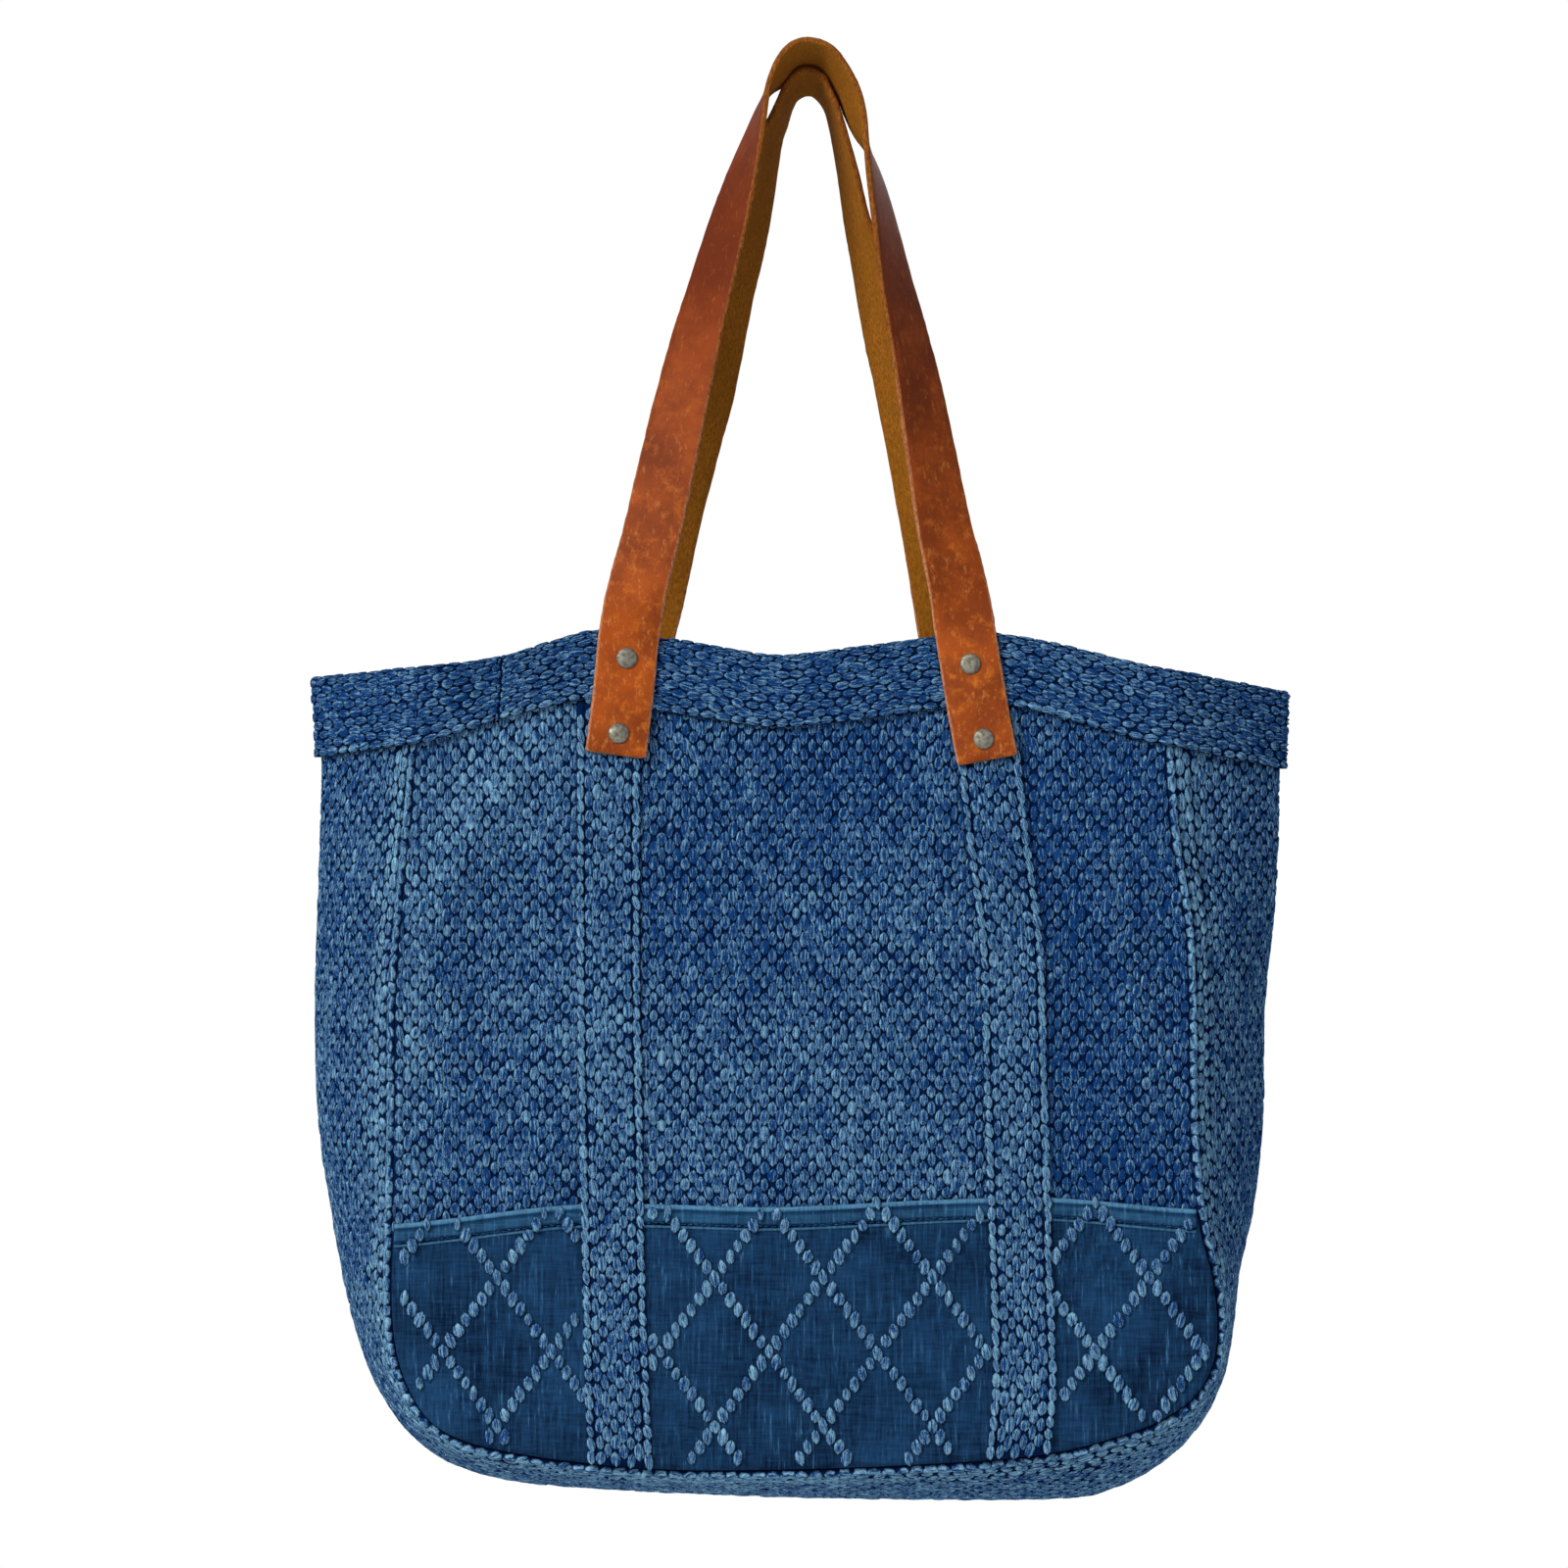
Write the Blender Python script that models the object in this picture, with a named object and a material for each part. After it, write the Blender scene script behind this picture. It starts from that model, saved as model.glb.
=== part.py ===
# Cotton tote bag that hangs from its two leather handles.
# Metres. The origin is the underside of the handles where they hang.
# +X is the viewer's right, +Y points away from the viewer, +Z is up.

import math

import bmesh
import bpy
import numpy as np
from mathutils import Matrix, Vector

# Driving dimensions of the bag
HALF_WIDTH = 0.240          # middle of the bag to the fold of the gusset at the mouth
HALF_DEPTH = 0.060          # middle of the bag to the front, at the base
MOUTH_DROP = 0.270          # hang point down to the mouth edge at the handles
MOUTH_DIP = 0.030           # how far the mouth edge falls towards its ends
BODY_HEIGHT = 0.412         # mouth edge at the handles down to the base seam
BAND_HEIGHT = 0.038
CLOTH = 0.0020              # wall of the heavy cotton, one layer
POCKET_CLOTH = 0.0010
MARGIN_WIDTH = 0.0110       # topstitched margin of the gusset along each seam
MARGIN_RISE = 0.0012        # the seam allowance folded under that margin
STRIP_WIDTH = 0.0315

# Driving dimensions of the handles and rivets
HANDLE_HALF_SPAN = 0.090    # middle of the bag to the middle of a handle end
LEATHER = 0.0031
STRAP_WIDTH = 0.0300
FRONT_HANG_Y = -0.008       # where each strap crosses the hang point
BACK_HANG_Y = 0.0115
RIVET_FROM_END = 0.010
RIVET_PITCH = 0.038
RIVET_CAP_RADIUS = 0.0052
RIVET_CAP_HEIGHT = 0.0021
RIVET_BURR_RADIUS = 0.0045
RIVET_BURR_HEIGHT = 0.0010
SHANK_RADIUS = 0.0020

# Clearances
SEAM_GAP = 0.0003           # between two pieces sewn edge to edge
LAY_GAP = 0.0005            # between two pieces that lie on each other
BAND_LAY_GAP = 0.0009       # between the band and the body inside it
STRAP_LAY_GAP = 0.0010      # between a handle's end and the band under it
BAND_GAP = 0.0015           # between the band's lower edge and the strips sewn up under it
MARGIN_START = 0.0040       # below the band, before the margins rise
HOLE_CLEARANCE = 0.0003     # round a shank
SEAT_GAP = 0.0003           # under a rivet's cap and over its burr
EDGE_INSET = 0.0030         # what lies on a panel stays this far inside its seam

# Profile of the gusset between its middle and a seam, as shares of half its width
GUSSET_SHARES = (0.15, 0.36, 0.60)
GUSSET_LINING_SHARES = (0.15, 0.36, 0.58)
SEAM_ROLL = 0.018           # the rounded edge beside the seam
MARGIN_STEP = 0.030         # the step up onto the margin
BODY_MIDDLE_DROP = 0.4      # middle of the bag, from which outwards is judged

# How finely the surfaces are cut
SIDE_STEPS = 13
BASE_STEPS = 22
POCKET_STEPS = 6
STRIP_STEPS = 13
STRIP_COLUMNS_ACROSS = 3
STRIP_END_ROWS = 2          # rows over which a strip's end turns to follow the edge it meets
BAND_STEPS = 2
STRAP_STEPS_PER_ROW = 2
RIVET_SIDES = 12
DOME_STEPS = 3
CURVE_SAMPLES = 200         # points on a curve that is read by height or by x
SLOPE_STEP = 0.001          # distance over which a slope is taken
SHARP_CLOTH_EDGE = math.radians(50)
SHARP_HARD_EDGE = math.radians(40)

# Front seam and gusset fold from the left end of the mouth, round the base, to the right end:
# seam x, seam drop, fold x, fold drop, bow. x is a share of HALF_WIDTH, drop a share of
# BODY_HEIGHT below the mouth edge at the handles. bow is the power of the gusset's profile:
# near 1 is a sharp fold, 2 is round.
EDGE_ROWS = (
    (-0.791, 0.041, -1.010, 0.054, 1.20),
    (-0.799, 0.140, -1.000, 0.155, 1.25),
    (-0.821, 0.295, -1.006, 0.295, 1.40),
    (-0.839, 0.428, -1.012, 0.434, 1.55),
    (-0.841, 0.581, -1.006, 0.581, 1.70),
    (-0.845, 0.704, -0.974, 0.710, 1.80),
    (-0.849, 0.794, -0.942, 0.804, 1.90),
    (-0.839, 0.857, -0.905, 0.877, 2.00),
    (-0.813, 0.902, -0.861, 0.928, 2.00),
    (-0.768, 0.941, -0.801, 0.971, 2.00),
    (-0.698, 0.965, -0.718, 1.001, 2.00),
    (-0.587, 0.980, -0.599, 1.020, 2.00),
    (-0.426, 0.992, -0.432, 1.029, 2.00),
    (-0.238, 1.000, -0.234, 1.035, 2.00),
    (-0.018, 0.999, -0.012, 1.040, 2.00),
    (0.200, 0.994, 0.200, 1.042, 2.00),
    (0.369, 0.988, 0.381, 1.043, 2.00),
    (0.518, 0.978, 0.547, 1.041, 2.00),
    (0.623, 0.963, 0.643, 1.029, 2.00),
    (0.714, 0.945, 0.734, 1.000, 2.00),
    (0.789, 0.917, 0.809, 0.958, 2.00),
    (0.835, 0.878, 0.863, 0.898, 2.00),
    (0.848, 0.827, 0.886, 0.830, 1.90),
    (0.837, 0.768, 0.900, 0.764, 1.80),
    (0.808, 0.698, 0.928, 0.692, 1.70),
    (0.791, 0.592, 0.948, 0.592, 1.60),
    (0.789, 0.451, 0.952, 0.451, 1.50),
    (0.782, 0.347, 0.972, 0.340, 1.40),
    (0.756, 0.253, 0.982, 0.246, 1.30),
    (0.744, 0.158, 0.984, 0.176, 1.25),
    (0.738, 0.046, 0.990, 0.073, 1.20),
)
LEFT_CORNER_ROW = 9
RIGHT_CORNER_ROW = 20

# Mouth edge: x as a share of HALF_WIDTH, dip of MOUTH_DIP, band of BAND_HEIGHT.
MOUTH_COLUMNS = ("x", "dip", "band")
MOUTH_ROWS = (
    (-1.010, 0.74, 1.03),
    (-0.800, 0.58, 1.00),
    (-0.627, 0.41, 0.80),
    (-0.430, -0.03, 0.88),
    (-0.300, 0.10, 0.93),
    (-0.245, 0.15, 0.95),
    (-0.075, 0.37, 0.93),
    (0.010, 0.34, 0.93),
    (0.140, 0.22, 0.93),
    (0.265, 0.08, 0.93),
    (0.400, 0.03, 0.90),
    (0.690, 0.52, 0.98),
    (0.990, 0.97, 1.00),
)

# Front of the bag: depth as a share of HALF_DEPTH at the middle, at the handles and at the seam.
DEPTH_COLUMNS = ("drop", "middle", "handle", "seam")
DEPTH_ROWS = (
    (0.00, 0.42, 0.48, 0.65),
    (0.15, 0.58, 0.58, 0.70),
    (0.40, 0.82, 0.78, 0.79),
    (0.70, 1.00, 0.95, 0.92),
    (1.00, 1.00, 1.00, 1.00),
)
HANDLE_SIDE = 0.40          # where those columns lie, as shares of HALF_WIDTH
SEAM_SIDE = 0.80

# Pulled folds: x and drop where each starts, x and drop where it ends, and its height and width
# as shares of HALF_DEPTH.
FOLD_ROWS = (
    (-0.610, 0.170, -0.770, 0.330, 0.070, 0.22),
    (0.540, 0.180, 0.700, 0.520, 0.080, 0.22),
    (0.560, 0.180, 0.600, 0.420, -0.040, 0.20),
)

# Top edge of the front pocket: x as a share of HALF_WIDTH.
HEM_COLUMNS = ("x", "drop")
HEM_ROWS = (
    (-0.841, 0.707),
    (-0.464, 0.684),
    (-0.058, 0.686),
    (0.369, 0.676),
    (0.508, 0.676),
    (0.799, 0.690),
)
# Middle lines of the two strips, which run down from the handles: x as a share of HANDLE_HALF_SPAN.
STRIP_COLUMNS = ("drop", "left_x", "right_x")
STRIP_ROWS = (
    (0.100, -1.0747, 0.9947),
    (0.253, -1.0747, 1.0587),
    (0.378, -1.0693, 1.1307),
    (0.555, -1.0587, 1.1520),
    (0.740, -1.0427, 1.1733),
    (0.900, -1.0213, 1.1947),
    (1.000, -1.0053, 1.1520),
)
POCKET_HEM_ROW = 4          # the row of that table nearest the pocket's hem

# Handles: middle line from the left end over the hang point to the right end.
# x is a share of HANDLE_HALF_SPAN, z of MOUTH_DROP, turn is the twist from facing outwards.
STRAP_COLUMNS = ("x", "z", "turn")
FRONT_STRAP_ROWS = (
    (-1.033, -1.221, 0.0),
    (-0.995, -1.113, 0.0),
    (-0.963, -1.004, 0.0),
    (-0.912, -0.911, 12.0),
    (-0.839, -0.817, 18.0),
    (-0.748, -0.681, 22.0),
    (-0.672, -0.568, 28.0),
    (-0.592, -0.457, 36.0),
    (-0.527, -0.378, 42.0),
    (-0.436, -0.267, 50.0),
    (-0.363, -0.180, 59.0),
    (-0.288, -0.094, 72.0),
    (-0.215, -0.011, 88.0),
    (-0.148, 0.022, 103.0),
    (-0.075, 0.056, 109.0),
    (0.003, 0.068, 113.0),
    (0.105, 0.061, 111.0),
    (0.177, 0.034, 110.0),
    (0.237, -0.001, 109.0),
    (0.277, -0.038, 107.0),
    (0.312, -0.075, 100.0),
    (0.350, -0.111, 88.0),
    (0.393, -0.169, 77.0),
    (0.441, -0.245, 69.0),
    (0.500, -0.350, 59.0),
    (0.565, -0.446, 51.0),
    (0.629, -0.548, 43.0),
    (0.694, -0.672, 35.0),
    (0.766, -0.807, 26.0),
    (0.839, -0.913, 14.0),
    (0.885, -1.006, 0.0),
    (0.941, -1.124, 0.0),
    (1.000, -1.231, 0.0),
)
BACK_STRAP_ROWS = (
    (-0.957, -1.221, 0.0),
    (-0.920, -1.113, 0.0),
    (-0.887, -1.004, 0.0),
    (-0.826, -0.922, 12.0),
    (-0.734, -0.795, 26.0),
    (-0.610, -0.648, 35.0),
    (-0.511, -0.542, 43.0),
    (-0.393, -0.374, 53.0),
    (-0.312, -0.283, 60.0),
    (-0.250, -0.191, 65.0),
    (-0.191, -0.090, 71.0),
    (-0.145, -0.051, 75.0),
    (-0.108, -0.020, 78.0),
    (-0.070, 0.003, 76.0),
    (-0.003, 0.021, 69.0),
    (0.066, 0.016, 72.0),
    (0.112, -0.003, 79.0),
    (0.150, -0.026, 81.0),
    (0.178, -0.056, 80.0),
    (0.204, -0.091, 78.0),
    (0.245, -0.152, 74.0),
    (0.290, -0.230, 69.0),
    (0.341, -0.294, 62.0),
    (0.433, -0.438, 54.0),
    (0.519, -0.550, 47.0),
    (0.656, -0.751, 33.0),
    (0.739, -0.882, 18.0),
    (0.804, -1.004, 0.0),
    (0.860, -1.124, 0.0),
    (0.914, -1.231, 0.0),
)
LAST_ROW_ON_BAG = 2         # so many rows in from each end, the strap lies on the bag

FRONT, BACK = -1.0, 1.0


def column(rows, columns, name):
    return np.array([row[columns.index(name)] for row in rows])


def smooth(values, at):
    """Catmull-Rom curve through the rows of values, read at row numbers between them."""
    values = np.asarray(values, float)
    last = len(values) - 1
    at = np.clip(np.asarray(at, float), 0.0, last)
    row = np.minimum(at.astype(int), last - 1)
    part = at - row
    if values.ndim > 1:
        part = part[..., None]
    a = values[np.maximum(row - 1, 0)]
    b = values[row]
    c = values[row + 1]
    d = values[np.minimum(row + 2, last)]
    curve = 2 * b + (c - a) * part + (2 * a - 5 * b + 4 * c - d) * part ** 2
    return 0.5 * (curve + (3 * b - a - 3 * c + d) * part ** 3)


def smooth_by(key, values, at):
    """The same curve, read at values of a key column that rises from row to row."""
    return smooth(values, np.interp(at, key, np.arange(len(key))))


def mouth_z(x):
    """Height of the mouth edge."""
    share = np.asarray(x) / HALF_WIDTH
    key = column(MOUTH_ROWS, MOUTH_COLUMNS, "x")
    return -MOUTH_DROP - MOUTH_DIP * smooth_by(key, column(MOUTH_ROWS, MOUTH_COLUMNS, "dip"), share)


def band_depth(x):
    """Height of the mouth band at x."""
    share = np.asarray(x) / HALF_WIDTH
    key = column(MOUTH_ROWS, MOUTH_COLUMNS, "x")
    return BAND_HEIGHT * smooth_by(key, column(MOUTH_ROWS, MOUTH_COLUMNS, "band"), share)


def front_depth(x, z):
    """Distance of the cloth's outer face from the bag's middle plane, pulled folds included."""
    x, z = np.broadcast_arrays(np.asarray(x, float), np.asarray(z, float))
    drop = (-z - MOUTH_DROP) / BODY_HEIGHT
    key = column(DEPTH_ROWS, DEPTH_COLUMNS, "drop")
    middle, handle, seam = (
        smooth_by(key, column(DEPTH_ROWS, DEPTH_COLUMNS, name), drop)
        for name in ("middle", "handle", "seam"))
    # An even curve in x through the three columns
    near, far = HANDLE_SIDE ** 2, SEAM_SIDE ** 2
    square = (x / HALF_WIDTH) ** 2
    fourth = ((seam - middle) - (handle - middle) * far / near) / (far ** 2 - near * far)
    second = (handle - middle) / near - near * fourth
    depth = HALF_DEPTH * (middle + second * square + fourth * square ** 2)
    for x_start, drop_start, x_end, drop_end, height, width in FOLD_ROWS:
        start = np.array((x_start * HALF_WIDTH, -MOUTH_DROP - drop_start * BODY_HEIGHT))
        run = np.array((x_end * HALF_WIDTH, -MOUTH_DROP - drop_end * BODY_HEIGHT)) - start
        along = ((x - start[0]) * run[0] + (z - start[1]) * run[1]) / (run @ run)
        along = np.clip(along, 0.0, 1.0)
        away = np.hypot(x - start[0] - along * run[0], z - start[1] - along * run[1])
        depth = depth + height * HALF_DEPTH * np.exp(-(away / (width * HALF_DEPTH)) ** 2)
    return depth


def on_panel(x, z, lift, side):
    """Points that lie lift off the outer face of the front or back panel."""
    depth = front_depth(x, z)
    slope_x = (front_depth(x + SLOPE_STEP, z) - depth) / SLOPE_STEP
    slope_z = (front_depth(x, z + SLOPE_STEP) - depth) / SLOPE_STEP
    long = np.sqrt(1.0 + slope_x ** 2 + slope_z ** 2)
    return np.stack((x - lift * slope_x / long,
                     side * (depth + lift / long),
                     z - lift * slope_z / long), axis=-1)


def edge_curve(at):
    """Seam point, fold point and bow at row numbers of the edge table."""
    seam_x, seam_drop, fold_x, fold_drop, bow = smooth(EDGE_ROWS, at).T
    seam_z = -MOUTH_DROP - seam_drop * BODY_HEIGHT
    fold_z = -MOUTH_DROP - fold_drop * BODY_HEIGHT
    return seam_x * HALF_WIDTH, seam_z, fold_x * HALF_WIDTH, fold_z, bow


def edge_stations():
    """Row numbers for the left side, the base and the right side; the band covers the end rows."""
    last = len(EDGE_ROWS) - 1
    under_band = np.array((0.0, 0.5))
    left = np.concatenate((under_band, np.linspace(1, LEFT_CORNER_ROW, SIDE_STEPS - 1)))
    base = np.linspace(LEFT_CORNER_ROW, RIGHT_CORNER_ROW, BASE_STEPS + 1)
    right = np.concatenate((np.linspace(RIGHT_CORNER_ROW, last - 1, SIDE_STEPS - 1),
                            last - under_band[::-1]))
    return left, base, right


def patch(top, base, left, right, s, t):
    """Grid between four edge curves: s runs along top and base, t down left and right."""
    s, t = s[None, :, None], t[:, None, None]
    sides = (1 - s) * left[:, None] + s * right[:, None]
    ends = (1 - t) * top[None] + t * base[None]
    corners = (1 - s) * (1 - t) * top[0] + s * (1 - t) * top[-1]
    corners = corners + (1 - s) * t * base[0] + s * t * base[-1]
    return sides + ends - corners


def grid_normals(grid):
    """Unit normals of a grid of points, across its rows and columns."""
    down = np.gradient(grid, axis=0)
    along = np.gradient(grid, axis=1)
    normal = np.cross(along, down)
    return normal / np.linalg.norm(normal, axis=-1, keepdims=True)


def gusset_point(seam_x, seam_z, fold_x, fold_z, bow, across):
    """Gusset surface: across runs from -1 at the front seam to 1 at the back seam."""
    out = 1.0 - np.abs(across) ** bow
    x = seam_x + (fold_x - seam_x) * out
    z = seam_z + (fold_z - seam_z) * out
    return np.stack((x, front_depth(seam_x, seam_z) * across, z), axis=-1)


def material(name, colour, roughness, metallic=0.0):
    shade = bpy.data.materials.new(name)
    shade.use_nodes = True
    principled = shade.node_tree.nodes["Principled BSDF"]
    principled.inputs["Base Color"].default_value = (*colour, 1.0)
    principled.inputs["Roughness"].default_value = roughness
    principled.inputs["Metallic"].default_value = metallic
    return shade


def add_object(name, points, faces, shade, smooth_angle=None):
    """A named object from points and faces, with its faces turned outwards."""
    mesh = bpy.data.meshes.new(name)
    mesh.from_pydata([tuple(point) for point in points], [], faces)
    shell = bmesh.new()
    shell.from_mesh(mesh)
    bmesh.ops.recalc_face_normals(shell, faces=shell.faces)
    shell.to_mesh(mesh)
    shell.free()
    mesh.materials.append(shade)
    if smooth_angle is not None:
        mesh.shade_smooth()
        mesh.set_sharp_from_angle(angle=smooth_angle)
    made = bpy.data.objects.new(name, mesh)
    bpy.context.scene.collection.objects.link(made)
    return made


def wall(name, outer, inner, shade, ring=False):
    """Closed wall between two grids of the same size; a ring joins its last column to its first."""
    rows, columns = outer.shape[:2]
    points = np.concatenate((outer.reshape(-1, 3), inner.reshape(-1, 3)))
    number = np.arange(rows * columns).reshape(rows, columns)
    if ring:
        number = np.concatenate((number, number[:, :1]), axis=1)
    a, b = number[:-1, :-1].ravel(), number[:-1, 1:].ravel()
    c, d = number[1:, 1:].ravel(), number[1:, :-1].ravel()
    back = rows * columns
    faces = [tuple(face) for face in np.stack((a, b, c, d), axis=1).tolist()]
    faces += [tuple(face) for face in (np.stack((d, c, b, a), axis=1) + back).tolist()]
    if ring:
        rims = (number[0], number[-1])
    else:
        rims = (np.concatenate((number[0], number[1:, -1], number[-1, -2::-1], number[-2::-1, 0])),)
    for rim in rims:
        rim = rim.tolist()
        faces += [(one, two, two + back, one + back) for one, two in zip(rim[:-1], rim[1:])]
    return add_object(name, points, faces, shade, SHARP_CLOTH_EDGE)


def panel_outline():
    """Edges of a panel in x and z: top, base, left, right."""
    left, base, right = (np.stack(edge_curve(at)[:2], axis=1) for at in edge_stations())
    top_x = np.linspace(left[0, 0], right[-1, 0], BASE_STEPS + 1)
    top = np.stack((top_x, mouth_z(top_x)), axis=1)
    left[0], right[-1] = top[0], top[-1]
    return top, base, left, right[::-1]


def gusset_grid(across):
    """Outer face of the gusset along all stations, without its raised margins."""
    left, base, right = edge_stations()
    at = np.concatenate((left, base[1:], right[1:]))
    seam_x, seam_z, fold_x, fold_z, bow = edge_curve(at)
    for end in (0, -1):
        seam_z[end] = mouth_z(seam_x[end])
        fold_z[end] = mouth_z(fold_x[end])
    each = [value[:, None] for value in (seam_x, seam_z, fold_x, fold_z, bow)]
    return gusset_point(*each, across[None, :])


def build_body(cloth_front, cloth_gusset):
    """Front panel, back panel and gusset, mitred to each other along the seams."""
    top, base, left, right = panel_outline()
    s = np.linspace(0, 1, BASE_STEPS + 1)
    t = edge_stations()[0] / LEFT_CORNER_ROW
    flat = patch(top, base, left, right, s, t)
    outer = on_panel(flat[..., 0], flat[..., 1], 0.0, FRONT)
    normal = -grid_normals(outer)
    normal *= -np.sign(normal[..., 1:2])

    half_gusset = math.hypot(HALF_DEPTH, (1.0 - SEAM_SIDE) * HALF_WIDTH)
    margin = 1.0 - MARGIN_WIDTH / half_gusset
    half_outer = np.array((*GUSSET_SHARES, margin - MARGIN_STEP, margin, 1.0 - SEAM_ROLL))
    half_inner = np.array((*GUSSET_LINING_SHARES, margin - 2 * MARGIN_STEP, margin - MARGIN_STEP,
                           1.0 - 4 * SEAM_ROLL))
    across = np.concatenate(((-1.0,), -half_outer[::-1], (0.0,), half_outer, (1.0,)))
    across_inner = np.concatenate(((-1.0,), -half_inner[::-1], (0.0,), half_inner, (1.0,)))
    skin, lining = gusset_grid(across), gusset_grid(across_inner)
    skin_normal, lining_normal = grid_normals(skin), grid_normals(lining)
    away = skin - np.array((0.0, 0.0, -MOUTH_DROP - BODY_MIDDLE_DROP * BODY_HEIGHT))
    turn = np.sign((skin_normal * away).sum(axis=-1).mean())
    skin_normal, lining_normal = turn * skin_normal, turn * lining_normal

    # The margins stand proud only below the band
    below = mouth_z(skin[..., 0]) - skin[..., 2] - band_depth(skin[..., 0])
    shown = np.clip((below - MARGIN_START) / MARGIN_START, 0.0, 1.0)
    on_margin = (np.abs(across) >= margin - 1e-6) & (np.abs(across) < 1.0)
    gusset_outer = skin + skin_normal * (MARGIN_RISE * shown * on_margin)[..., None]
    gusset_inner = lining - CLOTH * lining_normal

    # Panel normals along the seam, in the order of the gusset's stations
    along = np.concatenate((normal[:, 0], normal[-1, 1:], normal[-2::-1, -1]))
    meet = skin_normal[:, 0]
    mitre = -CLOTH * (along + meet) / (1.0 + (along * meet).sum(axis=-1, keepdims=True))
    apart = along - meet
    apart *= 0.5 * SEAM_GAP / np.linalg.norm(apart, axis=-1, keepdims=True)
    seam = skin[:, 0]
    gusset_outer[:, 0], gusset_inner[:, 0] = seam - apart, seam + mitre - apart
    flip = np.array((1.0, -1.0, 1.0))
    gusset_outer[:, -1] = gusset_outer[:, 0] * flip
    gusset_inner[:, -1] = gusset_inner[:, 0] * flip
    wall("gusset", gusset_outer, gusset_inner, cloth_gusset)

    inner = outer - CLOTH * normal
    turn_in = SIDE_STEPS + BASE_STEPS
    for grid, edge in ((outer, seam + apart), (inner, seam + mitre + apart)):
        grid[:, 0] = edge[:SIDE_STEPS + 1]
        grid[-1, :] = edge[SIDE_STEPS:turn_in + 1]
        grid[:, -1] = edge[turn_in:][::-1]
    front = wall("front_panel", outer, inner, cloth_front)
    back = wall("back_panel", outer * flip, inner * flip, cloth_front)
    return front, back, across


def build_band(across, shade):
    """Mouth band: a ring that follows the body, a gap outside it."""
    side_rows = {"left": (0, LEFT_CORNER_ROW), "right": (RIGHT_CORNER_ROW, len(EDGE_ROWS) - 1)}
    rings = []
    for share in np.linspace(0.0, 1.0, BAND_STEPS + 1):
        ends = {}
        for name, (first, last) in side_rows.items():
            seam_x, seam_z, fold_x, fold_z, bow = edge_curve(np.linspace(first, last, CURVE_SAMPLES))
            order = np.argsort(seam_z)
            mouth = seam_x[0] if name == "left" else seam_x[-1]
            level = mouth_z(mouth) - share * band_depth(mouth)
            seam = np.interp(level, seam_z[order], seam_x[order])
            fold_order = np.argsort(fold_z)
            tip = fold_x[0] if name == "left" else fold_x[-1]
            fold_level = mouth_z(tip) - share * band_depth(tip)
            fold = np.interp(fold_level, fold_z[fold_order], fold_x[fold_order])
            bow_here = np.interp(level, seam_z[order], bow[order])
            ends[name] = gusset_point(seam, level, fold, fold_level, bow_here, across)
        front_x = np.linspace(ends["left"][0, 0], ends["right"][0, 0], BASE_STEPS + 1)
        front_z = mouth_z(front_x) - share * band_depth(front_x)
        front = np.stack((front_x, -front_depth(front_x, front_z), front_z), axis=1)
        behind = front[::-1] * np.array((1.0, -1.0, 1.0))
        ring = np.concatenate((front, ends["right"][1:-1], behind, ends["left"][::-1][1:-1]))
        rings.append(ring)
    ring = np.array(rings)
    # Offset each ring outwards in plan, square to both of its neighbours
    forward = np.roll(ring, -1, axis=1) - ring
    square = np.stack((forward[..., 1], -forward[..., 0]), axis=-1)
    square /= np.linalg.norm(square, axis=-1, keepdims=True)
    before = np.roll(square, 1, axis=1)
    out = (square + before) / (1.0 + (square * before).sum(axis=-1, keepdims=True))
    out = np.concatenate((out, np.zeros(out.shape[:2] + (1,))), axis=-1)
    outer, inner = ring + out * (BAND_LAY_GAP + CLOTH), ring + out * BAND_LAY_GAP
    return wall("mouth_band", outer, inner, shade, ring=True)


def hem_z(x):
    key = column(HEM_ROWS, HEM_COLUMNS, "x") * HALF_WIDTH
    return -MOUTH_DROP - BODY_HEIGHT * smooth_by(key, column(HEM_ROWS, HEM_COLUMNS, "drop"), x)


def base_seam_z(x):
    seam_x, seam_z = edge_curve(np.linspace(LEFT_CORNER_ROW, RIGHT_CORNER_ROW, CURVE_SAMPLES))[:2]
    return np.interp(x, seam_x, seam_z)


def build_pocket(shade):
    """Front pocket: one layer on the panel, from its hem to the base seam."""
    rows = []
    for first, last in ((0, LEFT_CORNER_ROW), (len(EDGE_ROWS) - 1, RIGHT_CORNER_ROW)):
        fine = np.linspace(first, last, CURVE_SAMPLES)
        seam_x, seam_z = edge_curve(fine)[:2]
        start = fine[np.argmax(seam_z < hem_z(seam_x))]
        rows.append(np.stack(edge_curve(np.linspace(start, last, POCKET_STEPS + 1))[:2], axis=1))
    left, right = rows
    base = np.stack(edge_curve(edge_stations()[1])[:2], axis=1)
    top_x = np.linspace(left[0, 0], right[0, 0], BASE_STEPS + 1)
    top = np.stack((top_x, hem_z(top_x)), axis=1)
    s = np.linspace(0, 1, BASE_STEPS + 1)
    t = np.linspace(0, 1, POCKET_STEPS + 1)
    flat = patch(top, base, left, right, s, t)
    # Drawn in from the seam on three sides
    middle = flat[:, BASE_STEPS // 2][:, None, 0]
    half = 0.5 * (flat[:, -1:, 0] - flat[:, :1, 0])
    flat[..., 0] = middle + (flat[..., 0] - middle) * (1.0 - EDGE_INSET / half)
    flat[..., 1] += EDGE_INSET * t[:, None]
    faces = [on_panel(flat[..., 0], flat[..., 1], lift, FRONT)
             for lift in (LAY_GAP + POCKET_CLOTH, LAY_GAP)]
    return wall("front_pocket", *faces, shade)


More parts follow.
